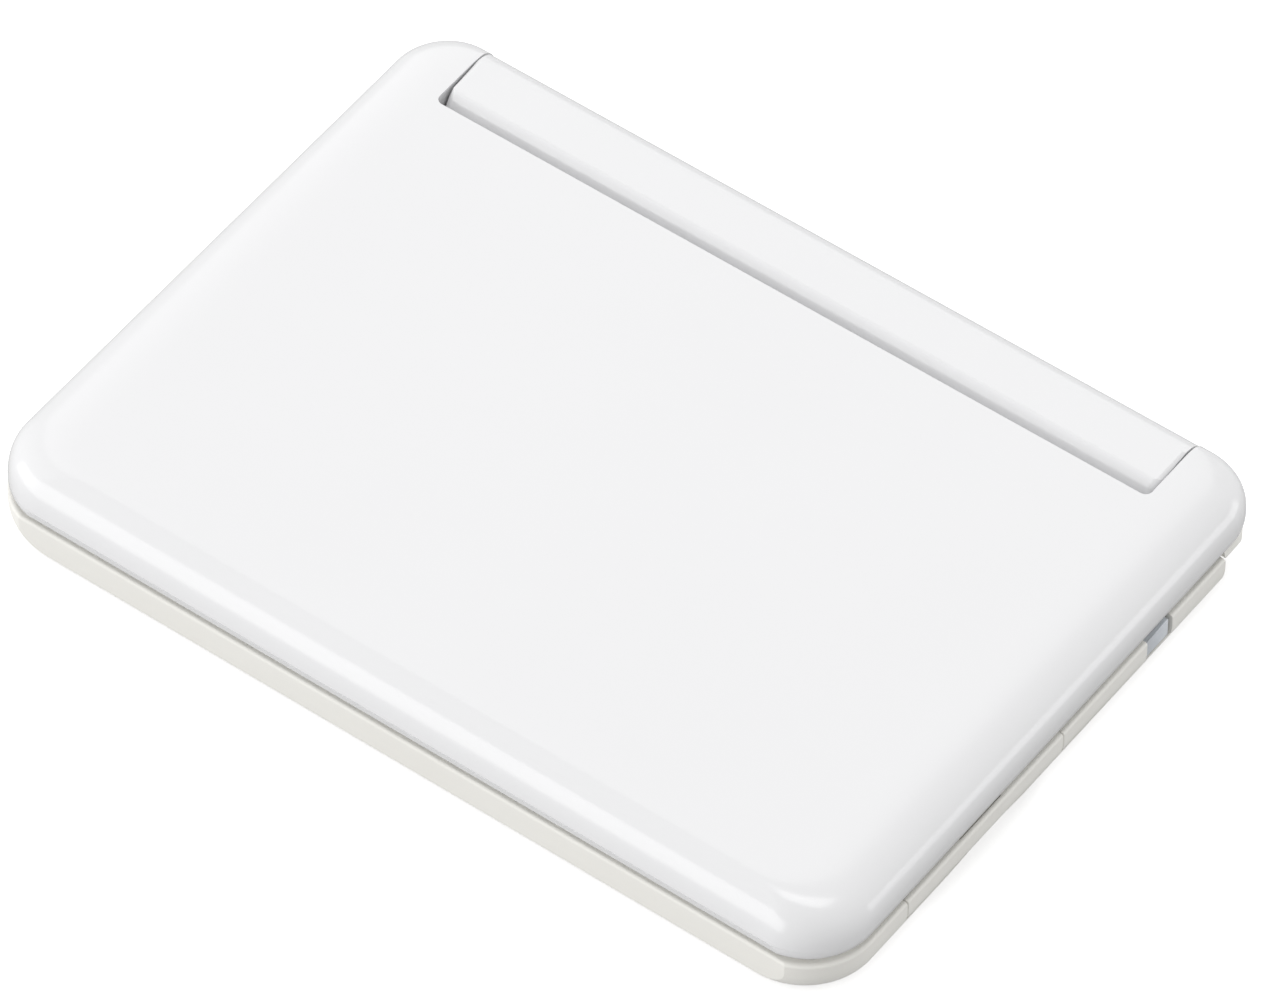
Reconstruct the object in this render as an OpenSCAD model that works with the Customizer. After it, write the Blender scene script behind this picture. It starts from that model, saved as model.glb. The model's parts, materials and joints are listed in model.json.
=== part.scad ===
// Pocket electronic dictionary with a hinged lid.
// X runs along the front edge, Y from front to back, Z up from the feet.
// The origin is under the middle of the closed case.

/* [Closed case] */
// Width of the closed case
body_w = 148; // [130:0.5:170]
// Depth of the closed case
body_d = 105.5; // [100:0.5:120]
// Height from the feet to the top of the lid
body_h = 15.7; // [15.5:0.1:18]
// Plan radius of the two front corners
front_corner_r = 11; // [9:0.5:16]
// Plan radius of the two back corners
rear_corner_r = 9.2; // [9:0.1:14]
// How far the flat front face is cut into the rounded form
front_cut = 0.65; // [0.3:0.05:1]

/* [Base] */
// Height of the base's top edge
base_top_z = 7.2; // [6.8:0.1:8]
// Thickness of the floor
floor_t = 1.2; // [0.9:0.1:1.6]
// Height of the curve that turns each side under the base
under_h = 4.75; // [3.5:0.25:5]
// How far that curve tucks in at the left and right sides
side_under = 2.75; // [2:0.25:5.5]
// How far it tucks in at the front
front_under = 2.2; // [0.9:0.1:3]
// How far it tucks in at the back
rear_under = 3; // [1:0.25:3.5]
// Width of the border beside the keyboard deck
side_border = 5.8; // [5.6:0.1:7]
// Width of the border in front of the keyboard deck
front_border = 2.4; // [2:0.1:4]
// Width of the ledge that the deck lies on
deck_ledge = 1.2; // [0.8:0.1:2]
// Small bevel round the top edge of the base
edge_bevel = 0.3; // [0.1:0.05:0.5]

/* [Lid] */
// Height of the lower edge of the glossy shell
lid_edge_z = 8.4; // [8.3:0.1:8.6]
// Height of the inner face, with the screen
lid_face_z = 8.2; // [8.1:0.05:8.25]
// Wall of the glossy shell
lid_wall = 1.5; // [1.2:0.1:2]
// How far the lid's sides would curl in under a full curl
lid_hem = 1; // [0:0.1:1.2]
// Thickness of the lid's top
lid_roof = 1.4; // [1:0.1:1.8]
// Width of the soft rounding along the left and right sides
side_roll = 12; // [6:0.5:13]
// Width of the rounding along the front
front_roll = 6.2; // [4:0.2:8]
// Width of the rounding along the back
rear_roll = 4.3; // [3:0.1:6]
// Thickness of the screen frame
frame_t = 1.6; // [1.4:0.1:2]

/* [Spine and hinge] */
// Width of each ear of the lid, beside the notch round the spine
ear_w = 11.4; // [11:0.1:12.5]
// Depth of the notch, from the back of the case
notch_d = 14.35; // [14:0.05:14.6]
// Plan radius in the notch's two inner corners
notch_r = 1.2; // [1:0.1:2.5]
// Gap at each end of the spine
spine_gap = 0.3; // [0.2:0.05:0.5]
// How far the spine's back face sits in from the lid's back
spine_inset = 0.45; // [0.3:0.05:0.7]
// Radius of the spine's back top edge
spine_edge_r = 4.2; // [3:0.1:4.5]
// Wall of the spine cover
spine_wall = 1.3; // [1:0.05:1.4]
// Height of the joint between the spine cover and the base
spine_joint_z = 4.2; // [3.8:0.1:4.6]
// Height of the hinge axis
hinge_z = 9; // [8.8:0.1:9.2]
// Radius of the lid's hinge knuckles
knuckle_r = 5.55; // [5.3:0.05:5.6]
// Radius of the spine's front curve round the hinge axis
spine_front_r = 8.75; // [8.6:0.05:8.8]
// Diameter of each hinge shaft
shaft_d = 3; // [2.4:0.1:3.6]
// Length of each hinge shaft inside its knuckle
shaft_reach = 6.5; // [5:0.5:6.5]

/* [Keyboard] */
// Thickness of the keyboard deck
deck_t = 1; // [0.8:0.1:1.2]
// How far the deck lies below the base's top edge
deck_drop = 0.3; // [0.2:0.05:0.5]
// Deck left free at each end of the top letter row
row_border = 7.4; // [7:0.1:10]
// Space between two letter keys in a row
key_space_x = 2.4; // [1.6:0.1:3]
// Space between two rows of letter keys
key_space_y = 3; // [2:0.1:4]
// Corner radius of a letter key
key_r = 1.8; // [0.8:0.1:2.4]
// Height of the key tops above the deck
key_proud = 0.8; // [0.5:0.05:0.8]
// Key travel
key_travel = 0.6; // [0.4:0.05:0.7]
// Diameter of the cursor ring
ring_d = 21; // [18:0.5:23]
// Diameter of the enter key in its middle
enter_d = 8.4; // [7:0.2:9]
// Space between the writing pad's glass and the cursor ring
pad_side_gap = 11.1; // [9:0.1:14]
// Deck left free in front of the writing pad's glass
pad_front_gap = 7.8; // [6:0.1:10]

/* [Screen] */
// Width of the lid frame's border at the left and right of the glass
screen_side = 13; // [12.5:0.1:18]
// Width of its border in front of the glass and behind it
screen_end = 7.575; // [6.8:0.025:11]
// Thickness of the screen glass
glass_t = 0.8; // [0.6:0.05:0.8]

/* [Power] */
// Diameter of one battery cell
cell_d = 10.4; // [10:0.1:10.5]
// Free length left for the contact spring
spring_l = 4.55; // [3.05:0.25:5.05]
// Length of the spine taken at each end by its hinge and screw
hinge_room = 15.1; // [15:0.1:16]

/* [Stylus] */
// Front end of the stylus, measured from the middle of the case
stylus_front = 34; // [30:0.5:38]
// Length of the stylus from its tail to the end of its barrel
stylus_l = 56.8; // [50:0.2:58]
// Length of the grip
grip_l = 36.6; // [30:0.2:40]
// Length of the open recess behind the barrel
recess_l = 5.9; // [5:0.1:7]
// Width of the stylus, across the side border
stylus_w = 4.4; // [3.5:0.1:4.6]
// Height of the stylus
stylus_h = 3.6; // [3:0.1:3.8]

/* [Fasteners and feet] */
// Diameter of each rubber foot
foot_d = 6.5; // [5:0.5:7]
// How far the feet stand out below the case
foot_h = 0.5; // [0.3:0.05:0.6]
// Shank diameter of the case screws
screw_d = 1.7; // [1.4:0.1:2]
// Head diameter of the case screws
screw_head_d = 3.2; // [3:0.1:3.4]

/* [Hidden] */
// clearances
fit_gap = 0.12;        // between parts that are fixed together
shaft_gap = 0.04;      // running clearance round a shaft
slide_gap = 0.15;      // round parts that lift or slide off
key_gap = 0.2;         // round a key in its hole
swing_gap = 0.45;      // round the hinge knuckles
thread_gap = 0.02;     // round a screw in its pilot hole
eps = 0.01;

// outline of the case
half_w = body_w/2;
half_d = body_d/2;
form_front = -half_d - front_cut;
case_bottom = foot_h;
floor_z = case_bottom + floor_t;
corner_steps = 14;
under_steps = 9;
roll_steps = 14;

// lid form
side_power = 3;        // how square the side rounding is
side_start_z = body_h - 6;
front_start_z = body_h - 10.65;
rear_start_z = body_h - 5.2;
hem_start_z = lid_edge_z + 1.6;
hem_h = 2.2;
lid_roof_z = body_h - lid_roof;
frame_back_z = lid_face_z + frame_t;
frame_gap = 0.1;
rim_room = 0.05;
rim_z = base_top_z - deck_drop + key_proud + rim_room;   // rim just clear of the keys' tops
rim_t = 0.9;

// hinge and spine
hinge_y = half_d - knuckle_r;
notch_y = half_d - notch_d;
notch_half = half_w - ear_w;
notch_lean = 0.5;      // the notch's front wall leans clear of the spine
notch_lean_z = body_h - 3.7;
notch_lean_h = 3;
notch_skirt = 1;
spine_half = notch_half - spine_gap;
spine_back = half_d - spine_inset;
spine_front = hinge_y - spine_front_r;
bulkhead_t = 1.5;
bay_front = spine_front + bulkhead_t;
bay_back = spine_back - spine_wall;
pocket_r = knuckle_r + swing_gap;
pocket_y = hinge_y - knuckle_r;   // upright end of the base beside each knuckle
knuckle_top_z = hinge_z + 3.3;
arm_in = 0.35;         // each knuckle's outer end lies just inside the curled lid
arm_tuck = 4.5;        // rounding under that end
arm_curve_h = 4.4;
arm_start_z = lid_edge_z - 0.9;

// deck
deck_top = base_top_z - deck_drop;
deck_z = deck_top - deck_t;
deck_half = half_w - side_border;
deck_front = -half_d + front_border;
deck_rear = spine_front - fit_gap;
deck_r = 8;
cavity_half = deck_half - deck_ledge;

// layers inside the base
board_t = 1;
board_z = floor_z + 0.5;
board_top = board_z + board_t;
membrane_t = 0.4;
membrane_top = board_top + membrane_t;
key_top = deck_top + key_proud;
key_flange_t = 0.65;
key_flange_z = deck_z - key_flange_t - 0.05;
dome_top = key_flange_z - key_travel - 0.1;
dome_d = 4;
key_crown_r = 60;

// key layout
row_letters = ["qwertyuiop", "asdfghjkl", "zxcvbnm"];
strip_y = deck_rear - 7.93;
rows_y = strip_y - 11.8;   // middle of the first letter row
front_keys_y = deck_front + 9.26;
row_steps = 6.35;      // rows between the first letter row and the front one
key_pitch_y = (rows_y - front_keys_y)/row_steps;
key_d = key_pitch_y - key_space_y;
key_pitch_x = (2*(deck_half - row_border) + key_space_x)/len(row_letters[0]);
key_w = key_pitch_x - key_space_x;
letter_keys = [for (r = [0:2]) for (i = [0:len(row_letters[r]) - 1])
    [str("key_", row_letters[r][i]),
     (i - (len(row_letters[r]) - 1)/2)*key_pitch_x, rows_y - r*key_pitch_y, key_w, key_d]];
third_row_y = rows_y - 2*key_pitch_y;
low_keys_y = third_row_y - 1.75*key_pitch_y;
side_key_x = 4*key_pitch_x;
side_key_w = 13;
command_keys = [
    ["key_shift", -side_key_x, third_row_y, key_w, key_d],
    ["key_delete", side_key_x, third_row_y, key_w, key_d],
    ["key_power", -side_key_x, low_keys_y, side_key_w, key_d],
    ["key_menu", -side_key_x, low_keys_y - 1.5*key_pitch_y, side_key_w, key_d],
    ["key_back", side_key_x, front_keys_y, side_key_w, key_d]];
plain_keys = concat(letter_keys, command_keys);
ring_x = side_key_x;
ring_y = low_keys_y - 0.75*key_pitch_y;
enter_gap = 0.25;
pad_key_gap = 8.09;    // from the lowest row's line to the pad's rear edge
pad_rear = low_keys_y + pad_key_gap;
pad_front = deck_front + pad_front_gap;
pad_y = (pad_rear + pad_front)/2;
pad_d = pad_rear - pad_front;
pad_w = 2*(ring_x - ring_d/2 - pad_side_gap);
pad_r = 1.5;
pad_flange = 2;
speaker_w = 20;
speaker_d = 9;
speaker_rim = 1;
speaker_rim_h = 0.45;
speaker_x = -deck_half + 14.2 + speaker_w/2;
speaker_y = strip_y;
strip_left = speaker_x + speaker_w/2 + 4;
strip_right = deck_half - 6.2;
strip_x = (strip_left + strip_right)/2;
strip_w = strip_right - strip_left;
strip_d = 6;
strip_r = 2.7;
strip_t = 0.6;
grille_hole_d = 1.2;
grille_pitch = 2.2;
grille_cols = 7;
grille_rows = 3;

// battery bay
cell_y = (bay_front + bay_back)/2;
cell_z = floor_z + cell_d/2 + 0.06;
plate_t = 0.4;
plate_h = 7;
cell_gap = 0.05;
cell_nub_d = 3.8;
cell_nub_l = 0.9;
bay_half = spine_half - hinge_room;
cell_l = bay_half - plate_t - (spring_l + cell_gap)/2;   // the cells fill the bay
spring_base_r = 3.7;
spring_tip_r = 2.3;
spring_wire = 0.5;
partition_t = 1.2;
partition_lap = 0.2;
door_half = bay_half - 0.6;
tongue_t = 0.4;
tongue_w = 1.1;

// hinge housings
housing_w = 8;
housing_d = 5.6;
housing_h = 6;
housing_x = spine_half - 2.8 - housing_w;
collar_d = 5;
collar_w = 1;

// screws and feet
head_t = 0.8;
head_sink = 0.1;
pilot_depth = 3.2;
boss_d = 4.4;
pad_boss_d = 6;
pad_boss_z = floor_z + 0.9;
case_screw_x = half_w - 10;
case_screw_y = [-half_d + 16.75, spine_front - 5.45];
post_d = 3;
post_x = half_w - 20;
post_y = [case_screw_y[0] + 6, 0, case_screw_y[1] - 8];
screw_bite = 2.6;      // how far a screw reaches into its boss
spine_screw_x = spine_half - 3.7;
spine_screw_y = spine_front + 3.65;
spine_boss_z = spine_joint_z;
foot_x = half_w - 14;
rear_foot_x = bay_half + 5.4;
foot_y = -half_d + 9.75;
rear_foot_y = cell_y;
foot_sink = 0.4;
lid_screw_x = half_w - 8;
lid_screw_y = [-half_d + 8.75, notch_y - 10.4];
lid_screw_bite = 2.8;
bumper_d = 4.6;
bumper_sink = 0.7;
bumper_back = 0.3;     // room between a bumper's back and the screw head
head_room = 0.5;
bumper_gap = 0.1;      // left between a bumper and the base

// screen
screen_w = body_w - 2*screen_side;
screen_d = half_d + notch_y - 2*screen_end;
screen_y = (-half_d + notch_y)/2;
glass_ledge_x = 4;
glass_ledge_y = 3;
window_w = screen_w - 2*glass_ledge_x;
window_d = screen_d - 2*glass_ledge_y;
glass_sink = 0.05;
panel_t = 2.6;
panel_w = screen_w - 2;
panel_d = screen_d + 1;

// stylus and ports
stylus_y0 = -stylus_front;
grip_y1 = stylus_y0 + grip_l;
barrel_y1 = stylus_y0 + stylus_l;
channel_y1 = barrel_y1 + recess_l;
stylus_z = base_top_z - stylus_h;
channel_half = half_w - stylus_w;
seam = 0.1;
spigot_d = 1.8;
spigot_l = 4;
spigot_gap = 0.03;
nib_l = 5.4;
nib_step = 2.6;        // behind this the nib is a thin blade
nib_blade = 1.2;
nib_inset = 0.35;
scoop_w = 20.5;
scoop_h = 1.5;
scoop_y = -15.2;
nail_w = 9.8;
nail_t = 0.4;
nail_h = 0.8;
port_y0 = -19;
port_l = 31;
port_z = 2.9;
port_h = 3.7;
port_t = 1.2;
port_depth = 1.35;
port_pin_r = 0.4;
port_pin_h = 0.35;
port_end_r = 0.62;
port_pocket_half = half_w - 3;
board_left = -half_w + 15.5;
port_mid_z = (floor_z + deck_z)/2;
jack_y = case_screw_y[1] - 6.5;
jack_bore_d = 3.5;
jack_bore_l = 14;
jack_nose_d = 4.4;
jack_mouth_x = -half_w + 1.8;
jack_body_d = 6;
jack_back_t = 1;
usb_y = 3.5;
usb_w = 7.7;
usb_h = 3.9;
blade_in = 1.5;
blade_w = 4.4;
blade_t = 0.7;
card_y = -10;
card_w = 13;
card_h = 1.9;
card_slot_w = 11.2;
card_slot_h = 1;

ivory = [0.94, 0.93, 0.91];
gloss_white = [0.97, 0.97, 0.97];
key_grey = [0.86, 0.86, 0.87];
metal = [0.75, 0.75, 0.76];
black = [0.1, 0.1, 0.11];

$fn = 48;

// Points of one arc
function arc(x, y, r, a0, a1, steps) =
    [for (i = [0:steps]) let (a = a0 + (a1 - a0)*i/steps) [x + r*cos(a), y + r*sin(a)]];

// Closed outline with its own radius at the front and back corners
function outline(x, y0, y1, rf, rr) = concat(
    arc(x - rf, y0 + rf, rf, -90, 0, corner_steps),
    arc(x - rr, y1 - rr, rr, 0, 90, corner_steps),
    arc(-x + rr, y1 - rr, rr, 90, 180, corner_steps),
    arc(-x + rf, y0 + rf, rf, 180, 270, corner_steps));

// Solid through a stack of outlines, each given as [height, points]
module loft(rings) {
    n = len(rings[0][1]);
    top = len(rings) - 1;
    polyhedron(
        points = [for (r = rings) for (p = r[1]) [p[0], p[1], r[0]]],
        faces = concat(
            [for (k = [0:top - 1]) for (i = [0:n - 1]) let (a = k*n + i, b = k*n + (i + 1) % n)
                each [[a, a + n, b + n], [a, b + n, b]]],
            [[for (i = [0:n - 1]) i]],
            [[for (i = [n - 1:-1:0]) top*n + i]]));
}

// Inset of the lid's rounding at height z: a superellipse from start_z up to top_z
function roll(z, width, start_z, top_z, power) = z <= start_z ? 0 :
    width*(1 - pow(1 - pow(min(1, (z - start_z)/(top_z - start_z)), power), 1/power));

// Inset of the lid's sides where they curl in at the lower edge
function hem(z) = z >= hem_start_z ? 0 :
    lid_hem*(1 - sqrt(1 - pow(min(1, (hem_start_z - z)/hem_h), 2)));

// Inset of the curve that turns a wall under the base
function under(z, width) = z >= case_bottom + under_h ? 0 :
    width*(1 - sqrt(1 - pow((case_bottom + under_h - z)/under_h, 2)));

// Outline of the lid at height z, for a top at top_z and pulled in by wall
function lid_ring(z, top_z, wall) = let (
    side = roll(z, side_roll, side_start_z, top_z, side_power),
    front = roll(z, front_roll, front_start_z, top_z, 2),
    rear = roll(z, rear_roll, rear_start_z, top_z, 2),
    inset = wall + (wall == 0 ? hem(z) : 0))
    outline(half_w - inset - side, form_front + inset + front, half_d - inset - rear,
        front_corner_r - inset - 0.7*front, rear_corner_r - inset - 0.9*rear);

function base_ring(z, inset) = outline(
    half_w - inset - under(z, side_under), form_front + inset + under(z, front_under),
    spine_back - inset - under(z, rear_under), front_corner_r, rear_corner_r);

// Profile of the base's side, as [distance in from the side, height]
function side_profile(z0, z1, width) = [for (i = [0:under_steps])
    let (z = z0 + (z1 - z0)*i/under_steps) [under(z, width), z]];

module lid_form(z0, top_z, wall) {
    loft([for (i = [0:roll_steps]) let (z = z0 + (top_z - z0)*sin(90*i/roll_steps))
        [z, lid_ring(z, top_z, wall)]]);
}

module base_form() {
    loft(concat(
        [for (i = [0:under_steps]) let (z = case_bottom + under_h*(1 - cos(90*i/under_steps)))
            [z, base_ring(z, 0)]],
        [[base_top_z - edge_bevel, base_ring(base_top_z, 0)],
         [base_top_z, base_ring(base_top_z, edge_bevel)]]));
}

// Keeps only what lies behind the flat front face
module behind_front(inset = 0) {
    intersection() {
        children();
        translate([-body_w, -half_d + inset, -body_h]) cube([2*body_w, 2*body_d, 3*body_h]);
    }
}

// Extrudes a [y, z] outline along X, centred
module along_x(length) {
    rotate([90, 0, 90]) translate([0, 0, -length/2]) linear_extrude(length) children();
}

module mirrored_pair() {
    children();
    mirror([1, 0, 0]) children();
}

module round_rect(w, d, r) {
    square([w - 2*r, d], center = true);
    square([w, d - 2*r], center = true);
    for (x = [-1, 1], y = [-1, 1]) translate([x*(w/2 - r), y*(d/2 - r)]) circle(r);
}

module centred_box(w, d, h) {
    translate([-w/2, -d/2, 0]) cube([w, d, h]);
}

// Lid's notch, grown for the walls round it
module notch(grow, z0, z1) {
    half = notch_half + grow;
    y = notch_y - grow;
    r = max(notch_r - grow, 0.2);
    translate([-half, y + r, z0]) cube([2*half, body_d, z1 - z0]);
    translate([-half + r, y, z0]) cube([2*half - 2*r, body_d, z1 - z0]);
    for (x = [-half + r, half - r]) translate([x, y + r, z0]) cylinder(h = z1 - z0, r = r);
}

// Space swept by the spine's front as the lid turns
module notch_undercut(grow) {
    y = notch_y - grow;
    along_x(2*(notch_half + grow - notch_r)) polygon([
        [y + eps, notch_lean_z], [y - notch_lean, notch_lean_z - notch_lean_h],
        [y - notch_lean, lid_face_z - notch_skirt], [y + eps, lid_face_z - notch_skirt]]);
}

module at_lid_screws() {
    for (x = [-1, 1], y = lid_screw_y) translate([x*lid_screw_x, y, 0]) children();
}

module at_case_screws() {
    for (x = [-1, 1], y = case_screw_y) translate([x*case_screw_x, y, 0]) children();
}

module at_spine_screws() {
    for (x = [-1, 1]) translate([x*spine_screw_x, spine_screw_y, 0]) children();
}

module at_feet() {
    for (x = [-1, 1]) {
        translate([x*foot_x, foot_y, 0]) children();
        translate([x*rear_foot_x, rear_foot_y, 0]) children();
    }
}

// Room that the lid's knuckles need at the base's back corners
module knuckle_pockets() {
    mirrored_pair() translate([spine_half, 0, 0]) {
        translate([0, hinge_y, hinge_z]) rotate([0, 90, 0]) cylinder(h = body_w, r = pocket_r);
        translate([0, pocket_y, -body_h]) cube([body_w, body_d, body_h + hinge_z]);
        translate([0, hinge_y, -body_h]) cube([body_w, body_d, 3*body_h]);
    }
}

module deck_outline(grow) {
    half = deck_half + grow;
    y0 = deck_front - grow;
    y1 = deck_rear + min(grow, fit_gap);
    r = deck_r + grow;
    translate([-half, y0 + r]) square([2*half, y1 - y0 - r]);
    translate([-half + r, y0]) square([2*half - 2*r, r + eps]);
    for (x = [-half + r, half - r]) translate([x, y0 + r]) circle(r);
}

module lower_case() {
    color(ivory) difference() {
        union() {
            difference() {
                behind_front() base_form();
                knuckle_pockets();
                // keyboard deck's seat and the space below it
                translate([0, 0, deck_z]) linear_extrude(body_h) deck_outline(fit_gap);
                translate([0, 0, floor_z]) linear_extrude(body_h) intersection() {
                    deck_outline(-deck_ledge);
                    translate([-half_w, -body_d]) square([body_w, body_d + spine_front - deck_ledge]);
                }
                // battery bay and the seat of the spine cover
                translate([-spine_half + spine_wall, bay_front, floor_z])
                    cube([2*(spine_half - spine_wall), bay_back - bay_front, body_h]);
                translate([-spine_half - 1, bay_front - eps, spine_joint_z])
                    cube([2*spine_half + 2, body_d, body_h]);
                translate([-spine_half - 1, spine_front - fit_gap, deck_z])
                    cube([2*spine_half + 2, body_d, body_h]);
                // space behind the ports
                translate([-port_pocket_half, port_y0 - 2, floor_z])
                    cube([port_pocket_half - cavity_half + 1,
                          jack_y + jack_body_d/2 + slide_gap - port_y0 + 2, deck_z - floor_z]);
            }
            at_case_screws() translate([0, 0, floor_z - eps])
                cylinder(h = pad_boss_z - floor_z + eps, d = pad_boss_d);
            at_spine_screws() translate([0, 0, floor_z - eps])
                cylinder(h = spine_boss_z - floor_z + eps, d = boss_d);
            for (x = [-1, 1], y = post_y) translate([x*post_x, y, floor_z - eps])
                cylinder(h = board_z - floor_z + eps, d = post_d);
            // partitions beside the cells and posts under the hinge housings
            mirrored_pair() {
                translate([bay_half, bay_front - partition_lap, floor_z - eps])
                    cube([partition_t, bay_back - bay_front + 2*partition_lap, spine_joint_z - floor_z]);
                translate([housing_x, hinge_y - housing_d/2, floor_z - eps])
                    cube([housing_w, housing_d, hinge_z - housing_h/2 - floor_z + eps]);
            }
        }
        battery_door_space();
        stylus_space();
        port_space();
        at_case_screws() screw_hole();
        at_spine_screws() screw_hole();
        at_feet() translate([0, 0, case_bottom - eps])
            cylinder(h = foot_sink + eps, d = foot_d + 2*fit_gap);
    }
}

// Clearance hole and head recess, cut from below
module screw_hole() {
    translate([0, 0, case_bottom - eps]) cylinder(h = head_t + head_sink + eps, d = screw_head_d + 0.4);
    translate([0, 0, case_bottom]) cylinder(h = body_h/2, d = screw_d + 0.4);
}

module battery_door_space() {
    half = door_half + slide_gap;
    translate([-half, bay_front - slide_gap, -eps])
        cube([2*half, body_d, floor_z + 2*eps]);
    translate([-half, bay_back - eps, 0]) cube([2*half, body_d, spine_joint_z + eps]);
    translate([-half - tongue_w, bay_front - slide_gap, floor_z - 2*tongue_t - slide_gap])
        cube([2*(half + tongue_w), body_d, tongue_t + 2*slide_gap]);
}

module stylus_space() {
    translate([channel_half - slide_gap, stylus_y0 - seam, stylus_z - slide_gap])
        cube([body_w, channel_y1 - stylus_y0 + seam, body_h]);
    // finger scoop below the stylus
    scoop_r = (pow(scoop_w/2, 2) + pow(scoop_h, 2))/(2*scoop_h);
    translate([channel_half - slide_gap, scoop_y, stylus_z + slide_gap - scoop_r])
        rotate([0, 90, 0]) cylinder(h = body_w, r = scoop_r, $fn = 180);
}

module port_space() {
    x = -half_w + port_depth;
    translate([-body_w, port_y0, port_z]) cube([body_w + x, port_l, port_h]);
    translate([x - port_depth + 0.7, port_y0 + port_l - 0.7, port_z - port_pin_h - 0.1])
        cylinder(h = port_h + 2*port_pin_h + 0.2, r = port_pin_r + shaft_gap);
    translate([-body_w, usb_y - usb_w/2 - fit_gap, port_mid_z - usb_h/2 - fit_gap])
        cube([body_w - cavity_half + 1, usb_w + 2*fit_gap, usb_h + 2*fit_gap]);
    translate([-body_w, card_y - card_w/2 - fit_gap, port_mid_z - card_h/2 - fit_gap])
        cube([body_w - cavity_half + 1, card_w + 2*fit_gap, card_h + 2*fit_gap]);
    translate([-body_w, jack_y, port_mid_z]) rotate([0, 90, 0])
        cylinder(h = body_w - cavity_half + 1, d = jack_nose_d + 2*fit_gap);
}

module key_outlines(grow) {
    for (k = plain_keys) translate([k[1], k[2]]) round_rect(k[3] + 2*grow, k[4] + 2*grow, key_r + grow);
    translate([ring_x, ring_y]) circle(ring_d/2 + grow);
}

module keyboard_deck() {
    color(ivory) difference() {
        union() {
            translate([0, 0, deck_z]) linear_extrude(deck_t) difference() {
                deck_outline(0);
                key_outlines(key_gap);
                translate([0, pad_y]) round_rect(pad_w + 2*fit_gap, pad_d + 2*fit_gap, pad_r);
                for (i = [0:grille_cols - 1], j = [0:grille_rows - 1])
                    translate([speaker_x + (i - (grille_cols - 1)/2)*grille_pitch,
                               speaker_y + (j - (grille_rows - 1)/2)*grille_pitch])
                        circle(d = grille_hole_d, $fn = 16);
            }
            at_case_screws() translate([0, 0, pad_boss_z])
                cylinder(h = deck_z - pad_boss_z + eps, d = boss_d);
        }
        at_case_screws() translate([0, 0, pad_boss_z - eps])
            cylinder(h = pilot_depth, d = screw_d + 2*thread_gap);
        translate([strip_x, strip_y, deck_top - strip_t])
            linear_extrude(body_h) round_rect(strip_w + 2*fit_gap, strip_d + 2*fit_gap, strip_r);
    }
}

// Spine section: front curve round the hinge axis, flat top, round back edge
function spine_section(inset, z0, z_back) = let (
    r = spine_front_r - inset,
    top = body_h - inset,
    ridge = acos(min(1, (top - hinge_z)/r)),
    edge = spine_edge_r - inset)
    concat(
        [[spine_back - inset, z_back]],
        arc(spine_back - inset - edge, top - edge, edge, 0, 90, 8),
        arc(hinge_y, hinge_z, r, 90 + ridge, 180, 8),
        [[hinge_y - r, z0], [bay_front, z0], [bay_front, z_back]]);

// Rounds the spine's front corners, along the path that the lid's notch sweeps
module spine_ends() {
    r = spine_front_r + eps;
    translate([0, hinge_y, hinge_z]) rotate([0, 90, 0]) rotate_extrude($fn = 96) for (s = [-1, 1]) {
        translate([0, min(0, s*spine_half)]) square([r - notch_r, spine_half]);
        translate([0, s > 0 ? 0 : -spine_half + notch_r]) square([r, spine_half - notch_r]);
        intersection() {
            translate([r - notch_r, s*(spine_half - notch_r)]) circle(notch_r);
            square([2*r, 2*spine_half + 1], center = true);
        }
    }
    linear_extrude(hinge_z) translate([0, spine_front + body_d/2]) round_rect(2*spine_half, body_d, notch_r);
}

module spine_cover() {
    color(gloss_white) difference() {
        union() {
            difference() {
                intersection() {
                    along_x(2*spine_half) polygon(spine_section(0, deck_z, spine_joint_z));
                    spine_ends();
                }
                along_x(2*(spine_half - spine_wall))
                    polygon(spine_section(spine_wall, deck_z - 3, spine_joint_z - 3));
            }
            intersection() {
                along_x(2*spine_half) polygon(spine_section(spine_wall/2, deck_z, spine_joint_z));
                at_spine_screws() translate([0, 0, spine_boss_z]) cylinder(h = body_h, d = boss_d);
            }
        }
        at_spine_screws() translate([0, 0, spine_boss_z - eps])
            cylinder(h = pilot_depth, d = screw_d + 2*thread_gap);
        translate([-body_w/2, hinge_y, hinge_z]) rotate([0, 90, 0])
            cylinder(h = body_w, d = shaft_d + 2*fit_gap);
    }
}

module battery_cover() {
    rear = [for (p = side_profile(case_bottom, spine_joint_z - fit_gap, rear_under))
        [spine_back - p[0], p[1]]];
    color(ivory) {
        along_x(2*door_half) polygon(concat(
            [[bay_front, case_bottom]], rear,
            [[bay_back + slide_gap, spine_joint_z - fit_gap], [bay_back + slide_gap, floor_z],
             [bay_front, floor_z]]));
        mirrored_pair() translate([door_half - eps, bay_front + 0.2, floor_z - 2*tongue_t])
            cube([tongue_w, bay_back - bay_front - 1.5, tongue_t]);
    }
}

module battery_cells() {
    x0 = -bay_half + plate_t + spring_l;
    for (i = [0, 1]) color(metal) translate([x0 + i*(cell_l + cell_gap), cell_y, cell_z])
        rotate([0, 90, 0]) {
            cylinder(h = cell_l - cell_nub_l, d = cell_d);
            cylinder(h = cell_l, d = cell_nub_d);
        }
}

module battery_contacts() {
    plate_d = bay_back - bay_front - 0.4;
    color(metal) {
        for (x = [-bay_half, bay_half - plate_t])
            translate([x, bay_front + 0.2, floor_z + 0.1]) cube([plate_t, plate_d, plate_h]);
        translate([-bay_half + plate_t - eps, cell_y, cell_z]) rotate([0, 90, 0]) difference() {
            cylinder(h = spring_l + eps, r1 = spring_base_r, r2 = spring_tip_r);
            translate([0, 0, -eps]) cylinder(h = spring_l + 3*eps,
                r1 = spring_base_r - spring_wire, r2 = spring_tip_r - spring_wire);
        }
    }
}

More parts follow.
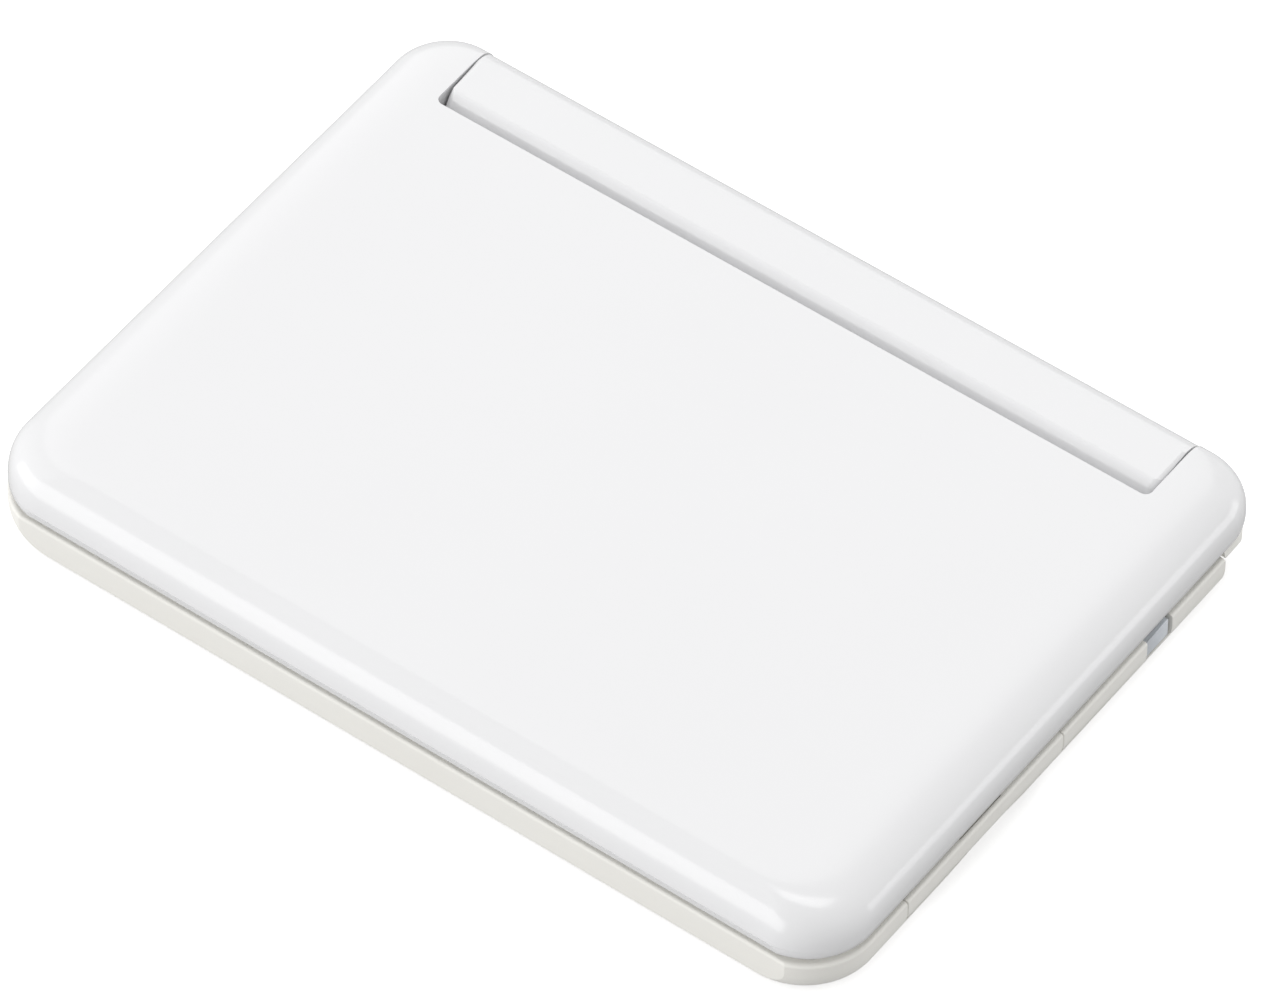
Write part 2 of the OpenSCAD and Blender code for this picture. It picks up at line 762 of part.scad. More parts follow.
module main_board() {
    y0 = deck_front + 3.5;
    color("darkgreen") difference() {
        translate([board_left, y0, board_z]) cube([-2*board_left + 2, spine_front - 2.5 - y0, board_t]);
        translate([-half_w, jack_y - jack_body_d/2 - slide_gap, 0])
                cube([jack_mouth_x + jack_bore_l + jack_back_t + slide_gap + half_w,
                  jack_body_d + 2*slide_gap, body_h]);
    }
}

module key_membrane() {
    w = 2*(half_w - 16);
    y0 = deck_front + 4;
    color("gainsboro") {
        translate([-w/2, y0, board_top]) cube([w, rows_y + key_d/2 + 1 - y0, membrane_t]);
        for (k = plain_keys) translate([k[1], k[2], membrane_top - eps])
            cylinder(h = dome_top - membrane_top + eps, d = dome_d);
        translate([ring_x, ring_y, membrane_top - eps])
            cylinder(h = dome_top - membrane_top + eps, d = dome_d);
    }
}

module writing_pad() {
    color("silver") translate([0, pad_y, 0]) {
        translate([0, 0, membrane_top]) linear_extrude(deck_z - membrane_top - 0.05)
            square([pad_w + 2*pad_flange, pad_d + 2*pad_flange], center = true);
        translate([0, 0, deck_z - 0.1]) linear_extrude(deck_t) round_rect(pad_w, pad_d, pad_r);
    }
}

module touch_strip() {
    color(key_grey) translate([strip_x, strip_y, deck_top - strip_t])
        linear_extrude(strip_t) round_rect(strip_w, strip_d, strip_r);
}

module speaker() {
    color(black) translate([speaker_x, speaker_y, board_top]) {
        height = deck_z - board_top - speaker_rim_h - 0.05;
        centred_box(speaker_w, speaker_d, height);
        translate([0, 0, height - eps]) linear_extrude(speaker_rim_h) difference() {
            square([speaker_w, speaker_d], center = true);
            square([speaker_w - 2*speaker_rim, speaker_d - 2*speaker_rim], center = true);
        }
    }
}

module headphone_jack() {
    body_x = -port_pocket_half + 0.2;
    height = deck_z - floor_z - 0.2;
    color(black) translate([jack_mouth_x, jack_y, port_mid_z]) difference() {
        union() {
            rotate([0, 90, 0]) cylinder(h = body_x - jack_mouth_x + eps, d = jack_nose_d);
            translate([body_x - jack_mouth_x, -jack_body_d/2, -height/2])
                cube([jack_bore_l + jack_back_t - body_x + jack_mouth_x, jack_body_d, height]);
        }
        translate([-eps, 0, 0]) rotate([0, 90, 0]) cylinder(h = jack_bore_l + eps, d = jack_bore_d);
    }
}

// Open-fronted socket shell, facing the left side
module socket(w, h, slot_w, slot_h, depth) {
    difference() {
        translate([0, -w/2, -h/2]) cube([depth, w, h]);
        translate([-1, -slot_w/2, -slot_h/2]) cube([depth - 1, slot_w, slot_h]);
    }
}

module usb_socket() {
    x0 = -half_w + port_depth + 0.2;
    color(metal) translate([x0, usb_y, port_mid_z]) {
        socket(usb_w, usb_h, usb_w - 0.8, usb_h - 0.8, board_left - 0.1 - x0);
        translate([blade_in, -blade_w/2, -blade_t/2])
            cube([board_left - x0 - blade_in - 0.5, blade_w, blade_t]);
    }
}

module card_socket() {
    x0 = -half_w + port_depth + 0.2;
    color(metal) translate([x0, card_y, port_mid_z])
        socket(card_w, card_h, card_slot_w, card_slot_h, board_left - 0.1 - x0);
}

module port_cover() {
    profile = side_profile(port_z + slide_gap, port_z + port_h - slide_gap, side_under);
    y1 = port_y0 + port_l - 0.7;
    pin_x = -half_w + 0.7;
    color(ivory) {
        translate([0, y1, 0]) rotate([90, 0, 0]) linear_extrude(port_l - 0.7 - slide_gap)
            polygon(concat([for (p = profile) [-half_w + p[0], p[1]]],
                [[-half_w + port_t, port_z + port_h - slide_gap], [-half_w + port_t, port_z + slide_gap]]));
        translate([pin_x, y1, port_z + slide_gap]) cylinder(h = port_h - 2*slide_gap, r = port_end_r - 0.08);
        translate([pin_x, y1, port_z - port_pin_h]) cylinder(h = port_h + 2*port_pin_h, r = port_pin_r);
    }
}

module hinge_shafts() {
    color(metal) mirrored_pair() translate([housing_x, hinge_y, hinge_z]) {
        translate([0, -housing_d/2, -housing_h/2]) cube([housing_w, housing_d, housing_h]);
        rotate([0, 90, 0]) cylinder(h = notch_half + shaft_reach - housing_x, d = shaft_d);
        translate([housing_w - eps, 0, 0]) rotate([0, 90, 0]) cylinder(h = collar_w, d = collar_d);
    }
}

module rubber_feet() {
    color(black) at_feet() cylinder(h = case_bottom + foot_sink, d = foot_d);
}

module screw(head_z, length) {
    translate([0, 0, head_z]) {
        difference() {
            cylinder(h = head_t, d = screw_head_d);
            translate([0, 0, -eps]) cylinder(h = 0.45, d = 1.6, $fn = 6);
        }
        cylinder(h = length, d = screw_d);
    }
}

module case_screws() {
    color(metal) {
        at_case_screws() screw(case_bottom + head_sink, pad_boss_z + screw_bite - case_bottom);
        at_spine_screws() screw(case_bottom + head_sink, spine_boss_z + screw_bite - case_bottom);
    }
}

// Stretch of the stylus, flush with the base's side
module stylus_part(y0, y1) {
    profile = side_profile(stylus_z, base_top_z - edge_bevel, side_under);
    translate([0, y1, 0]) rotate([90, 0, 0]) linear_extrude(y1 - y0) polygon(concat(
        [[channel_half, base_top_z], [channel_half, stylus_z]],
        [for (p = profile) [half_w - p[0], p[1]]],
        [[half_w - edge_bevel, base_top_z]]));
}

// Round spigot that joins the barrel to the grip
module spigot(y0, y1, gap) {
    translate([(channel_half + half_w)/2, y1, stylus_z + stylus_h/2])
        rotate([90, 0, 0]) cylinder(h = y1 - y0, d = spigot_d + 2*gap);
}

module stylus_grip() {
    color(ivory) difference() {
        stylus_part(stylus_y0, grip_y1 - seam);
        // nail slit beside the lid's edge
        translate([half_w - lid_hem - 0.1, scoop_y - nail_w/2 - 1, base_top_z - nail_h])
            cube([nail_t, nail_w, nail_h + 1]);
        spigot(grip_y1 - spigot_l - 2*spigot_gap, grip_y1, spigot_gap);
    }
}

module stylus_barrel() {
    color(ivory) {
        stylus_part(grip_y1, barrel_y1);
        spigot(grip_y1 - spigot_l, grip_y1 + eps, 0);
    }
}

module stylus_nib() {
    nib_top_z = base_top_z - 0.3;
    root_x = channel_half + 0.6;
    face_x = half_w - nib_inset;
    end_y = barrel_y1 + nib_l;
    color([0.7, 0.75, 0.8, 0.8])
        translate([0, 0, stylus_z]) linear_extrude(nib_top_z - stylus_z) polygon([
            [root_x, barrel_y1], [face_x, barrel_y1], [face_x, end_y],
            [face_x - nib_blade, end_y], [face_x - nib_blade, barrel_y1 + nib_step],
            [root_x, barrel_y1 + nib_step]]);
}

module lid_shell() {
    color(gloss_white) difference() {
        union() {
            difference() {
                behind_front() lid_form(lid_edge_z, body_h, 0);
                difference() {
                    lid_form(lid_edge_z - eps, lid_roof_z, lid_wall);
                    notch(lid_wall, lid_edge_z - 1, body_h);
                    notch_undercut(lid_wall);
                }
            }
            at_lid_screws() translate([0, 0, frame_back_z])
                cylinder(h = lid_roof_z - frame_back_z + 0.2, d = boss_d);
        }
        notch(0, 0, 2*body_h);
        notch_undercut(0);
        // openings beside the knuckles
        mirrored_pair() translate([notch_half - eps, hinge_y - knuckle_r - 0.1, lid_face_z])
            cube([lid_wall + 0.5, half_d - lid_wall - hinge_y + knuckle_r + 0.1 + fit_gap,
                  knuckle_top_z + 0.1 - lid_face_z]);
        at_lid_screws() translate([0, 0, frame_back_z - eps])
            cylinder(h = pilot_depth, d = screw_d + 2*thread_gap);
    }
}

// Outline of the lid frame inside the shell's wall
module frame_outline(gap) {
    polygon(lid_ring(frame_back_z, lid_roof_z, lid_wall + gap));
}

module lid_frame() {
    gap = frame_gap;
    color(ivory) difference() {
        union() {
            difference() {
                translate([0, 0, lid_face_z]) linear_extrude(frame_t) frame_outline(gap);
                notch(lid_wall + gap, 0, 2*body_h);
                translate([0, 0, -eps]) notch_undercut(lid_wall + gap);
            }
            // rim that closes the gap above the base
            translate([0, 0, rim_z]) linear_extrude(lid_face_z - rim_z + eps) difference() {
                frame_outline(gap);
                frame_outline(gap + rim_t);
                translate([-half_w, notch_y - lid_wall - 2]) square([body_w, body_d]);
            }
            mirrored_pair() {
                // knuckle below the shell, rounded under at its outer end
                intersection() {
                    translate([notch_half, hinge_y, hinge_z]) rotate([0, 90, 0])
                        cylinder(h = half_w - notch_half, r = knuckle_r);
                    linear_extrude(lid_edge_z - 0.05)
                        polygon(lid_ring(lid_edge_z, body_h, arm_in));
                    translate([0, body_d, 0]) rotate([90, 0, 0]) linear_extrude(body_d) polygon(concat(
                        [[0, 0]],
                        [for (i = [0:under_steps]) let (a = 90*(1 - i/under_steps))
                            [half_w - arm_in - arm_tuck*(1 - cos(a)), arm_start_z - arm_curve_h*sin(a)]],
                        [[half_w, body_h], [0, body_h]]));
                }
                // knuckle inside the shell
                intersection() {
                    translate([notch_half, hinge_y - knuckle_r, lid_edge_z - 0.2])
                        cube([half_w - notch_half, 2*knuckle_r, knuckle_top_z - lid_edge_z + 0.2]);
                    linear_extrude(body_h) polygon(lid_ring(knuckle_top_z, lid_roof_z, lid_wall + gap));
                }
            }
        }
        mirrored_pair() translate([notch_half - 1, hinge_y, hinge_z]) rotate([0, 90, 0])
            cylinder(h = shaft_reach + 1.2, d = shaft_d + 2*shaft_gap);
        translate([0, screen_y, 0]) {
            translate([-window_w/2, -window_d/2, 0]) cube([window_w, window_d, body_h]);
            translate([-screen_w/2 - fit_gap, -screen_d/2 - fit_gap, 0])
                cube([screen_w + 2*fit_gap, screen_d + 2*fit_gap, lid_face_z + glass_t + glass_sink]);
        }
        at_lid_screws() {
            translate([0, 0, lid_face_z - eps])
                cylinder(h = bumper_sink + head_room + 3*eps, d = bumper_d + 2*fit_gap);
            cylinder(h = body_h, d = screw_d + 0.4);
        }
    }
}

module screen_glass() {
    color([0.2, 0.22, 0.24]) translate([0, screen_y, lid_face_z + glass_sink])
        linear_extrude(glass_t) square([screen_w, screen_d], center = true);
}

module lcd_panel() {
    color(metal) translate([0, screen_y, frame_back_z])
        linear_extrude(panel_t) square([panel_w, panel_d], center = true);
}

module lid_bumpers() {
    z0 = base_top_z + bumper_gap;
    color(key_grey) at_lid_screws() translate([0, 0, z0])
        cylinder(h = lid_face_z + bumper_sink - bumper_back - z0, d = bumper_d);
}

module lid_screws() {
    z0 = lid_face_z + bumper_sink - bumper_back;
    color(metal) at_lid_screws() screw(z0, frame_back_z + lid_screw_bite - z0);
}

// Key cap with a crowned top, held under the deck by its flange
module key_cap(k) {
    flange = 0.5;
    color(key_grey) translate([k[1], k[2], 0]) {
        translate([0, 0, key_flange_z]) linear_extrude(key_flange_t)
            round_rect(k[3] + 2*flange, k[4] + 2*flange, key_r);
        intersection() {
            translate([0, 0, deck_z - 0.2]) linear_extrude(body_h) round_rect(k[3], k[4], key_r);
            translate([0, k[4], key_top - key_crown_r]) rotate([90, 0, 0])
                cylinder(h = 2*k[4], r = key_crown_r, $fn = 360);
        }
    }
}

module cursor_ring() {
    hole = enter_d/2 + enter_gap;
    flange = 0.5;
    dish_r = 40;
    color(key_grey) translate([ring_x, ring_y, 0]) difference() {
        union() {
            translate([0, 0, key_flange_z]) cylinder(h = key_flange_t, d = ring_d + 2*flange);
            translate([0, 0, deck_z - 0.2]) cylinder(h = key_top - deck_z + 0.2, d = ring_d);
        }
        cylinder(h = body_h, r = hole);
        // room for the enter key's flange
        translate([0, 0, key_flange_z - eps])
            cylinder(h = key_flange_t + key_travel - 0.15, r = hole + 0.9);
        translate([0, 0, key_top - 0.45 + dish_r]) sphere(r = dish_r, $fn = 180);
    }
}

module enter_key() {
    color(key_grey) translate([ring_x, ring_y, 0]) {
        translate([0, 0, key_flange_z]) cylinder(h = key_flange_t - 0.25, d = enter_d + 1.6);
        translate([0, 0, key_flange_z + 0.2]) cylinder(h = key_top - key_flange_z - 0.4, d = enter_d);
    }
}

lower_case();
keyboard_deck();
spine_cover();
battery_cover();
battery_cells();
battery_contacts();
main_board();
key_membrane();
writing_pad();
touch_strip();
speaker();
headphone_jack();
usb_socket();
card_socket();
port_cover();
hinge_shafts();
rubber_feet();
case_screws();
stylus_grip();
stylus_barrel();
stylus_nib();
lid_shell();
lid_frame();
screen_glass();
lcd_panel();
lid_bumpers();
lid_screws();
cursor_ring();
enter_key();
for (k = plain_keys) key_cap(k);
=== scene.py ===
import json
import math
import bmesh
import bpy
import numpy as np
from mathutils import Matrix, Vector


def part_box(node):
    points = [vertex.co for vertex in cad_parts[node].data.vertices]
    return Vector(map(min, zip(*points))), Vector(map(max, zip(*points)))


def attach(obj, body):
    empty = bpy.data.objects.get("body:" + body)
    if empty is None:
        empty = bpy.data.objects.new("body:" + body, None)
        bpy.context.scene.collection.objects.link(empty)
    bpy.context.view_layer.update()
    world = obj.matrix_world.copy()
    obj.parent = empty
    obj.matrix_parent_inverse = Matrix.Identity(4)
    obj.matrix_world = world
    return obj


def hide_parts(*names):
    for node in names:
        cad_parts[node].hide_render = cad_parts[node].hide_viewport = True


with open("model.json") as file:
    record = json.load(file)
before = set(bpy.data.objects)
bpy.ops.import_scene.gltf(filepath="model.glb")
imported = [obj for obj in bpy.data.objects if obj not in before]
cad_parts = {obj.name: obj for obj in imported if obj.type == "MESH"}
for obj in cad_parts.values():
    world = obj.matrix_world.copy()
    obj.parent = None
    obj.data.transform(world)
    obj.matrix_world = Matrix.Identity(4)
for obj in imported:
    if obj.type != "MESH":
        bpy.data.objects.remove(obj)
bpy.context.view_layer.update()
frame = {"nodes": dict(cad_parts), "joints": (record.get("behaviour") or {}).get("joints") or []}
cadNodes = frame["nodes"]
mm = 0.001


def boxOf(node):
    low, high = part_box(node)
    return np.array(low) / mm, np.array(high) / mm


lidLow, lidHigh = boxOf("lid_shell")
baseLow, baseHigh = boxOf("lower_case")
spineLow, spineHigh = boxOf("spine_cover")
halfWidth, halfDepth, topZ = lidHigh
lidEdgeZ = lidLow[2]
baseTopZ, caseBottomZ = baseHigh[2], baseLow[2]
spineHalf, spineBack, spineFront = spineHigh[0], spineHigh[1], spineLow[1]
hingeJoint = next(joint for joint in frame["joints"] if joint["name"] == "lid_hinge")
hingeY, hingeZ = (value / mm for value in hingeJoint["pos_m"][1:])


def linkPiece(name, mesh):
    piece = bpy.data.objects.new(name, mesh)
    bpy.context.scene.collection.objects.link(piece)
    return piece


def meshPiece(name, points, faces):  # points in millimetres
    mesh = bpy.data.meshes.new(name)
    mesh.from_pydata((np.asarray(points, float).reshape(-1, 3) * mm).tolist(), [], faces)
    mesh.validate()
    return linkPiece(name, mesh)


def ringStack(name, rings):
    # Neighbouring rings of points are joined by quads; the first and the last ring get a flat cap.
    rings = np.asarray(rings, float)
    levels, count = rings.shape[:2]
    along, level = np.meshgrid(np.arange(count), np.arange(levels - 1))
    here, after = level * count + along, level * count + (along + 1) % count
    quads = np.stack([here, after, after + count, here + count], -1).reshape(-1, 4)
    last = (levels - 1) * count
    caps = [list(range(count))[::-1], list(range(last, last + count))]
    piece = meshPiece(name, rings, quads.tolist() + caps)
    outwards(piece)
    return piece


def outwards(piece):
    shape = bmesh.new()
    shape.from_mesh(piece.data)
    bmesh.ops.recalc_face_normals(shape, faces=shape.faces)
    shape.to_mesh(piece.data)
    shape.free()


def block(name, low, high):
    (x0, y0, z0), (x1, y1, z1) = low, high
    ring = np.array([[x0, y0], [x1, y0], [x1, y1], [x0, y1]])
    return ringStack(name, [np.column_stack([ring, np.full(4, z)]) for z in (z0, z1)])


def rod(name, start, direction, radius, length, steps=48):
    # Circle of points carried along a straight axis.
    axis = np.asarray(direction, float) / np.linalg.norm(direction)
    side = np.cross(axis, [0, 0, 1] if abs(axis[2]) < 0.9 else [1, 0, 0])
    side /= np.linalg.norm(side)
    turn = np.linspace(0, 2 * np.pi, steps, endpoint=False)[:, None]
    circle = np.cos(turn) * side + np.sin(turn) * np.cross(axis, side)
    return ringStack(name, [np.asarray(start) + circle * radius,
                            np.asarray(start) + axis * length + circle * radius])


def applied(piece):
    graph = bpy.context.evaluated_depsgraph_get()
    mesh = bpy.data.meshes.new_from_object(piece.evaluated_get(graph))
    piece.modifiers.clear()
    piece.data = mesh
    return piece


def carve(piece, tools):
    for tool in tools:
        cut = piece.modifiers.new("carve", "BOOLEAN")
        cut.operation, cut.object, cut.solver = "DIFFERENCE", tool, "EXACT"
    applied(piece)
    for tool in tools:
        bpy.data.objects.remove(tool)
    return piece


def softenEdges(piece, width, steps=3, sharpest=40, where=None):
    # Rounds the edges that turn by more than the sharpest angle, and marks the finer creases sharp.
    shape = bmesh.new()
    shape.from_mesh(piece.data)
    bmesh.ops.remove_doubles(shape, verts=shape.verts, dist=2e-6)
    flat = [e for e in shape.edges if len(e.link_faces) == 2 and e.calc_face_angle(1) < 2e-4]
    bmesh.ops.dissolve_edges(shape, edges=flat, use_verts=False, use_face_split=False)
    lone = [v for v in shape.verts if len(v.link_edges) == 2
            and v.calc_edge_angle(1) < 1e-4]
    bmesh.ops.dissolve_verts(shape, verts=lone)
    turn = math.radians(sharpest)
    chosen = [e for e in shape.edges if len(e.link_faces) == 2 and e.calc_face_angle(0) > turn
              and (where is None or where(*((e.verts[0].co + e.verts[1].co) / 2 / mm)))]
    rounded = set()
    if chosen:
        made = bmesh.ops.bevel(shape, geom=chosen, offset=width * mm, offset_type="OFFSET", affect="EDGES",
                               segments=steps, profile=0.5, clamp_overlap=True, material=-1)
        rounded = set(made["faces"])
    for face in shape.faces:
        face.smooth = True
    for edge in shape.edges:
        faces = edge.link_faces
        edge.smooth = (len(faces) == 2 and (any(f in rounded for f in faces)
                                            or edge.calc_face_angle(0) < math.radians(9)))
    shape.to_mesh(piece.data)
    shape.free()
    return piece


def weighNormals(piece):
    weigh = piece.modifiers.new("weigh", "WEIGHTED_NORMAL")
    weigh.keep_sharp, weigh.weight = True, 50
    return applied(piece)


def toLinear(code):  # sRGB hex to linear
    value = np.array([int(code[i:i + 2], 16) for i in (1, 3, 5)]) / 255
    linear = np.where(value <= 0.04045, value / 12.92, ((value + 0.055) / 1.055) ** 2.4)
    return (*linear.tolist(), 1.0)


def addNode(tree, kind, settings=None, links=None):
    node = tree.nodes.new(kind)
    for key, value in (settings or {}).items():
        if isinstance(key, str) and key in node.bl_rna.properties:
            setattr(node, key, value)
        else:
            node.inputs[key].default_value = value
    for key, source in (links or {}).items():
        tree.links.new(source, node.inputs[key])
    return node


def newMaterial(name, surface):
    # A principled surface with its own tree; the pattern nodes are linked in by the caller.
    material = bpy.data.materials.new(name)
    material.use_nodes = True
    tree = material.node_tree
    tree.nodes.clear()
    shader = addNode(tree, "ShaderNodeBsdfPrincipled", surface)
    out = addNode(tree, "ShaderNodeOutputMaterial")
    tree.links.new(shader.outputs["BSDF"], out.inputs["Surface"])
    place = addNode(tree, "ShaderNodeTexCoord").outputs["Object"]
    return material, tree, shader, place


def blend(tree, factor, first, second):
    # Colour mix; each side is a hex colour or another node's colour.
    mix = addNode(tree, "ShaderNodeMix", {"data_type": "RGBA"})
    tree.links.new(factor, mix.inputs[0])
    for socket, side in ((6, first), (7, second)):
        if isinstance(side, str):
            mix.inputs[socket].default_value = toLinear(side)
        else:
            tree.links.new(side, mix.inputs[socket])
    return mix.outputs[2]


def drift(tree, shader, place, colour, tint, roughness, size=30.0):
    # Slow colour drift and uneven gloss, a few centimetres long.
    noise = addNode(tree, "ShaderNodeTexNoise", {"Scale": 1 / (size * mm), "Detail": 3.0}, {"Vector": place})
    gloss = addNode(tree, "ShaderNodeMapRange", {"To Min": roughness * 0.88, "To Max": roughness * 1.12},
                    {"Value": noise.outputs["Fac"]})
    tree.links.new(gloss.outputs["Result"], shader.inputs["Roughness"])
    shade = blend(tree, noise.outputs["Fac"], colour, tint)
    tree.links.new(shade, shader.inputs["Base Color"])
    return shade


def grainBump(tree, shader, place, size, depth):
    grain = addNode(tree, "ShaderNodeTexNoise", {"Scale": 1 / (size * mm), "Detail": 2.0}, {"Vector": place})
    bump = addNode(tree, "ShaderNodeBump", {"Strength": 1.0, "Distance": depth * mm},
                   {"Height": grain.outputs["Fac"]})
    tree.links.new(bump.outputs["Normal"], shader.inputs["Normal"])
    return grain.outputs["Fac"]


def moulded(name, colour, tint, roughness, grainSize, grainDepth, extra=None, rim=None):
    # Where the surface turns away from view, a dark rim colour is painted in as shade and the
    # gloss fades, so that a pale edge stays visible against white.
    material, tree, shader, place = newMaterial(name, {"IOR": 1.5, **(extra or {})})
    shade = drift(tree, shader, place, colour, tint, roughness)
    if rim:
        # painted shade: the base colour is blended towards the dark rim colour as the surface turns away
        # from view
        turned = addNode(tree, "ShaderNodeFresnel", {"IOR": 1.5})
        tree.links.new(blend(tree, turned.outputs[0], shade, rim), shader.inputs["Base Color"])
        fade = addNode(tree, "ShaderNodeMapRange",
                       {"From Min": 0.05, "From Max": 0.6, "To Min": 0.5, "To Max": 0.05},
                       {"Value": turned.outputs[0]})
        tree.links.new(fade.outputs["Result"], shader.inputs["Specular IOR Level"])
    grainBump(tree, shader, place, grainSize, grainDepth)
    return material


def metal(name, colour, tint, roughness, stretch):
    # Fine lines drawn out along the stretch's small numbers vary the gloss and the height.
    material, tree, shader, place = newMaterial(name, {"Metallic": 1.0})
    drawn = addNode(tree, "ShaderNodeMapping", {"Scale": stretch}, {"Vector": place}).outputs[0]
    lines = addNode(tree, "ShaderNodeTexNoise", {"Scale": 1 / (0.4 * mm), "Detail": 4.0}, {"Vector": drawn})
    gloss = addNode(tree, "ShaderNodeMapRange", {"To Min": roughness * 0.75, "To Max": roughness * 1.3},
                    {"Value": lines.outputs["Fac"]})
    tree.links.new(gloss.outputs["Result"], shader.inputs["Roughness"])
    tree.links.new(blend(tree, lines.outputs["Fac"], colour, tint), shader.inputs["Base Color"])
    bump = addNode(tree, "ShaderNodeBump", {"Strength": 1.0, "Distance": 0.003 * mm},
                   {"Height": lines.outputs["Fac"]})
    tree.links.new(bump.outputs["Normal"], shader.inputs["Normal"])
    return material


def band(tree, place, axis, start, end):
    # 1 where the object coordinate lies between start and end, in millimetres.
    parts = addNode(tree, "ShaderNodeSeparateXYZ", None, {0: place})
    value = parts.outputs[axis]
    above = addNode(tree, "ShaderNodeMath", {"operation": "GREATER_THAN", 1: start * mm}, {0: value})
    below = addNode(tree, "ShaderNodeMath", {"operation": "LESS_THAN", 1: end * mm}, {0: value})
    both = addNode(tree, "ShaderNodeMath", {"operation": "MULTIPLY"},
                   {0: above.outputs[0], 1: below.outputs[0]})
    return both.outputs[0]


def stripes(tree, place, axis, pitch, line, offset=0.0):
    # 1 on thin lines that repeat each pitch millimetres.
    parts = addNode(tree, "ShaderNodeSeparateXYZ", None, {0: place})
    steps = addNode(tree, "ShaderNodeMath", {"operation": "MULTIPLY_ADD", 1: 1 / (pitch * mm), 2: offset},
                    {0: parts.outputs[axis]})
    part = addNode(tree, "ShaderNodeMath", {"operation": "FRACT"}, {0: steps.outputs[0]})
    return addNode(tree, "ShaderNodeMath", {"operation": "LESS_THAN", 1: line / pitch},
                   {0: part.outputs[0]}).outputs[0]


# ABS moulded in a polished tool: soft high gloss, a faint orange peel a few millimetres long, painted shade
# at the rim
glossAbs = moulded("gloss_moulded_abs", "#EFEFF0", "#EDEDEE", 0.16, 3.0, 0.0012, rim="#303234")
# ABS moulded in a spark-eroded tool: satin, with a fine grain
satinAbs = moulded("satin_moulded_abs", "#F4F3EE", "#F0EEE8", 0.42, 0.35, 0.006)
# key caps: white, a little glossier than the deck, so that they stand out from it
capAbs = moulded("moulded_key_abs", "#F6F6F5", "#F2F2F1", 0.24, 0.5, 0.003)
# legends printed in grey ink, matt beside the caps
legendInk = moulded("pad_printed_ink", "#4A4D52", "#55585D", 0.55, 0.08, 0.002)
# clear polycarbonate tinted blue-grey: milky, with a little light passing through
clearPc = moulded("clear_moulded_polycarbonate", "#E6EBF1", "#DCE3EB", 0.14, 1.5, 0.001,
                  {"Transmission Weight": 0.08})
# silicone sheet: milky, with light spreading under its skin
siliconeSheet = moulded("moulded_silicone", "#D9D9DB", "#CFCFD2", 0.5, 0.6, 0.004,
                        {"Subsurface Weight": 0.3, "Subsurface Radius": (0.002, 0.002, 0.002)})
# rubber: dull and slightly pitted
footRubber = moulded("moulded_rubber", "#8D8D90", "#838387", 0.72, 0.25, 0.02)
# black ABS of the speaker and the jack: satin, finely grained
blackAbs = moulded("black_moulded_abs", "#1B1B1D", "#222225", 0.38, 0.3, 0.005)
# nickel-plated sheet: bright, with fine lines along the press direction
platedSheet = metal("nickel_plated_sheet", "#C9CACE", "#B9BABF", 0.26, (0.12, 1.0, 1.0))
# turned steel: the lines run round the shaft
turnedSteel = metal("turned_steel", "#BFC0C4", "#A9AAAF", 0.22, (1.0, 0.1, 0.1))
# zinc-plated screws: greyer and rougher
zincPlate = metal("zinc_plated_steel", "#A7A9AD", "#96989D", 0.34, (1.0, 1.0, 0.3))
# rolled aluminium of the display's back
rolledAluminium = metal("rolled_aluminium", "#C5C6CA", "#B7B8BC", 0.36, (0.08, 1.0, 1.0))


def displayGlass(name, colour, tint, dotPitch, dotDepth):
    # Reflective monochrome display: faint rows and columns of dots under clear, clean glass.
    surface = {"IOR": 1.5, "Coat Weight": 1.0, "Coat Roughness": 0.04}
    material, tree, shader, place = newMaterial(name, surface)
    shade = drift(tree, shader, place, colour, tint, 0.45, 50.0)
    for axis in (0, 1):
        shade = blend(tree, stripes(tree, place, axis, dotPitch, 0.06), shade, dotDepth)
    tree.links.new(shade, shader.inputs["Base Color"])
    return material


lcdGlass = displayGlass("monochrome_lcd_glass", "#87908A", "#7F8883", 0.3, "#7B847F")
padGlass = displayGlass("touch_pad_lcd_glass", "#98A09B", "#909893", 0.3, "#8C9590")
# the dark border printed behind each display's glass: clean and glossy
borderGlass = moulded("screen_printed_glass_border", "#2A2C30", "#2E3034", 0.07, 4.0, 0.0006,
                      {"Coat Weight": 0.6})


def printedStrip(name):
    # Printed polyester film over the touch strip: pale zones with thin grey lines between them.
    surface = {"IOR": 1.5, "Coat Weight": 0.5, "Coat Roughness": 0.1}
    material, tree, shader, place = newMaterial(name, surface)
    shade = drift(tree, shader, place, "#C9CDD1", "#C2C6CB", 0.3)
    lines = stripes(tree, place, 0, 8.6, 0.25, 0.2)
    tree.links.new(blend(tree, lines, shade, "#8A8F96"), shader.inputs["Base Color"])
    grainBump(tree, shader, place, 0.5, 0.002)
    return material


def circuitBoard(name):
    # Green solder mask over copper: fine tracks show as slightly raised, paler lines.
    material, tree, shader, place = newMaterial(name, {"IOR": 1.5})
    shade = drift(tree, shader, place, "#1F5B3A", "#1A5034", 0.35)
    for axis, pitch in ((0, 1.27), (1, 2.54)):
        shade = blend(tree, stripes(tree, place, axis, pitch, 0.2), shade, "#2F7A50")
    tree.links.new(shade, shader.inputs["Base Color"])
    grainBump(tree, shader, place, 0.8, 0.02)
    return material


cellForm = {"copperBand": 9, "plusCap": 1.2, "minusCap": 0.8, "lap": 0.02}


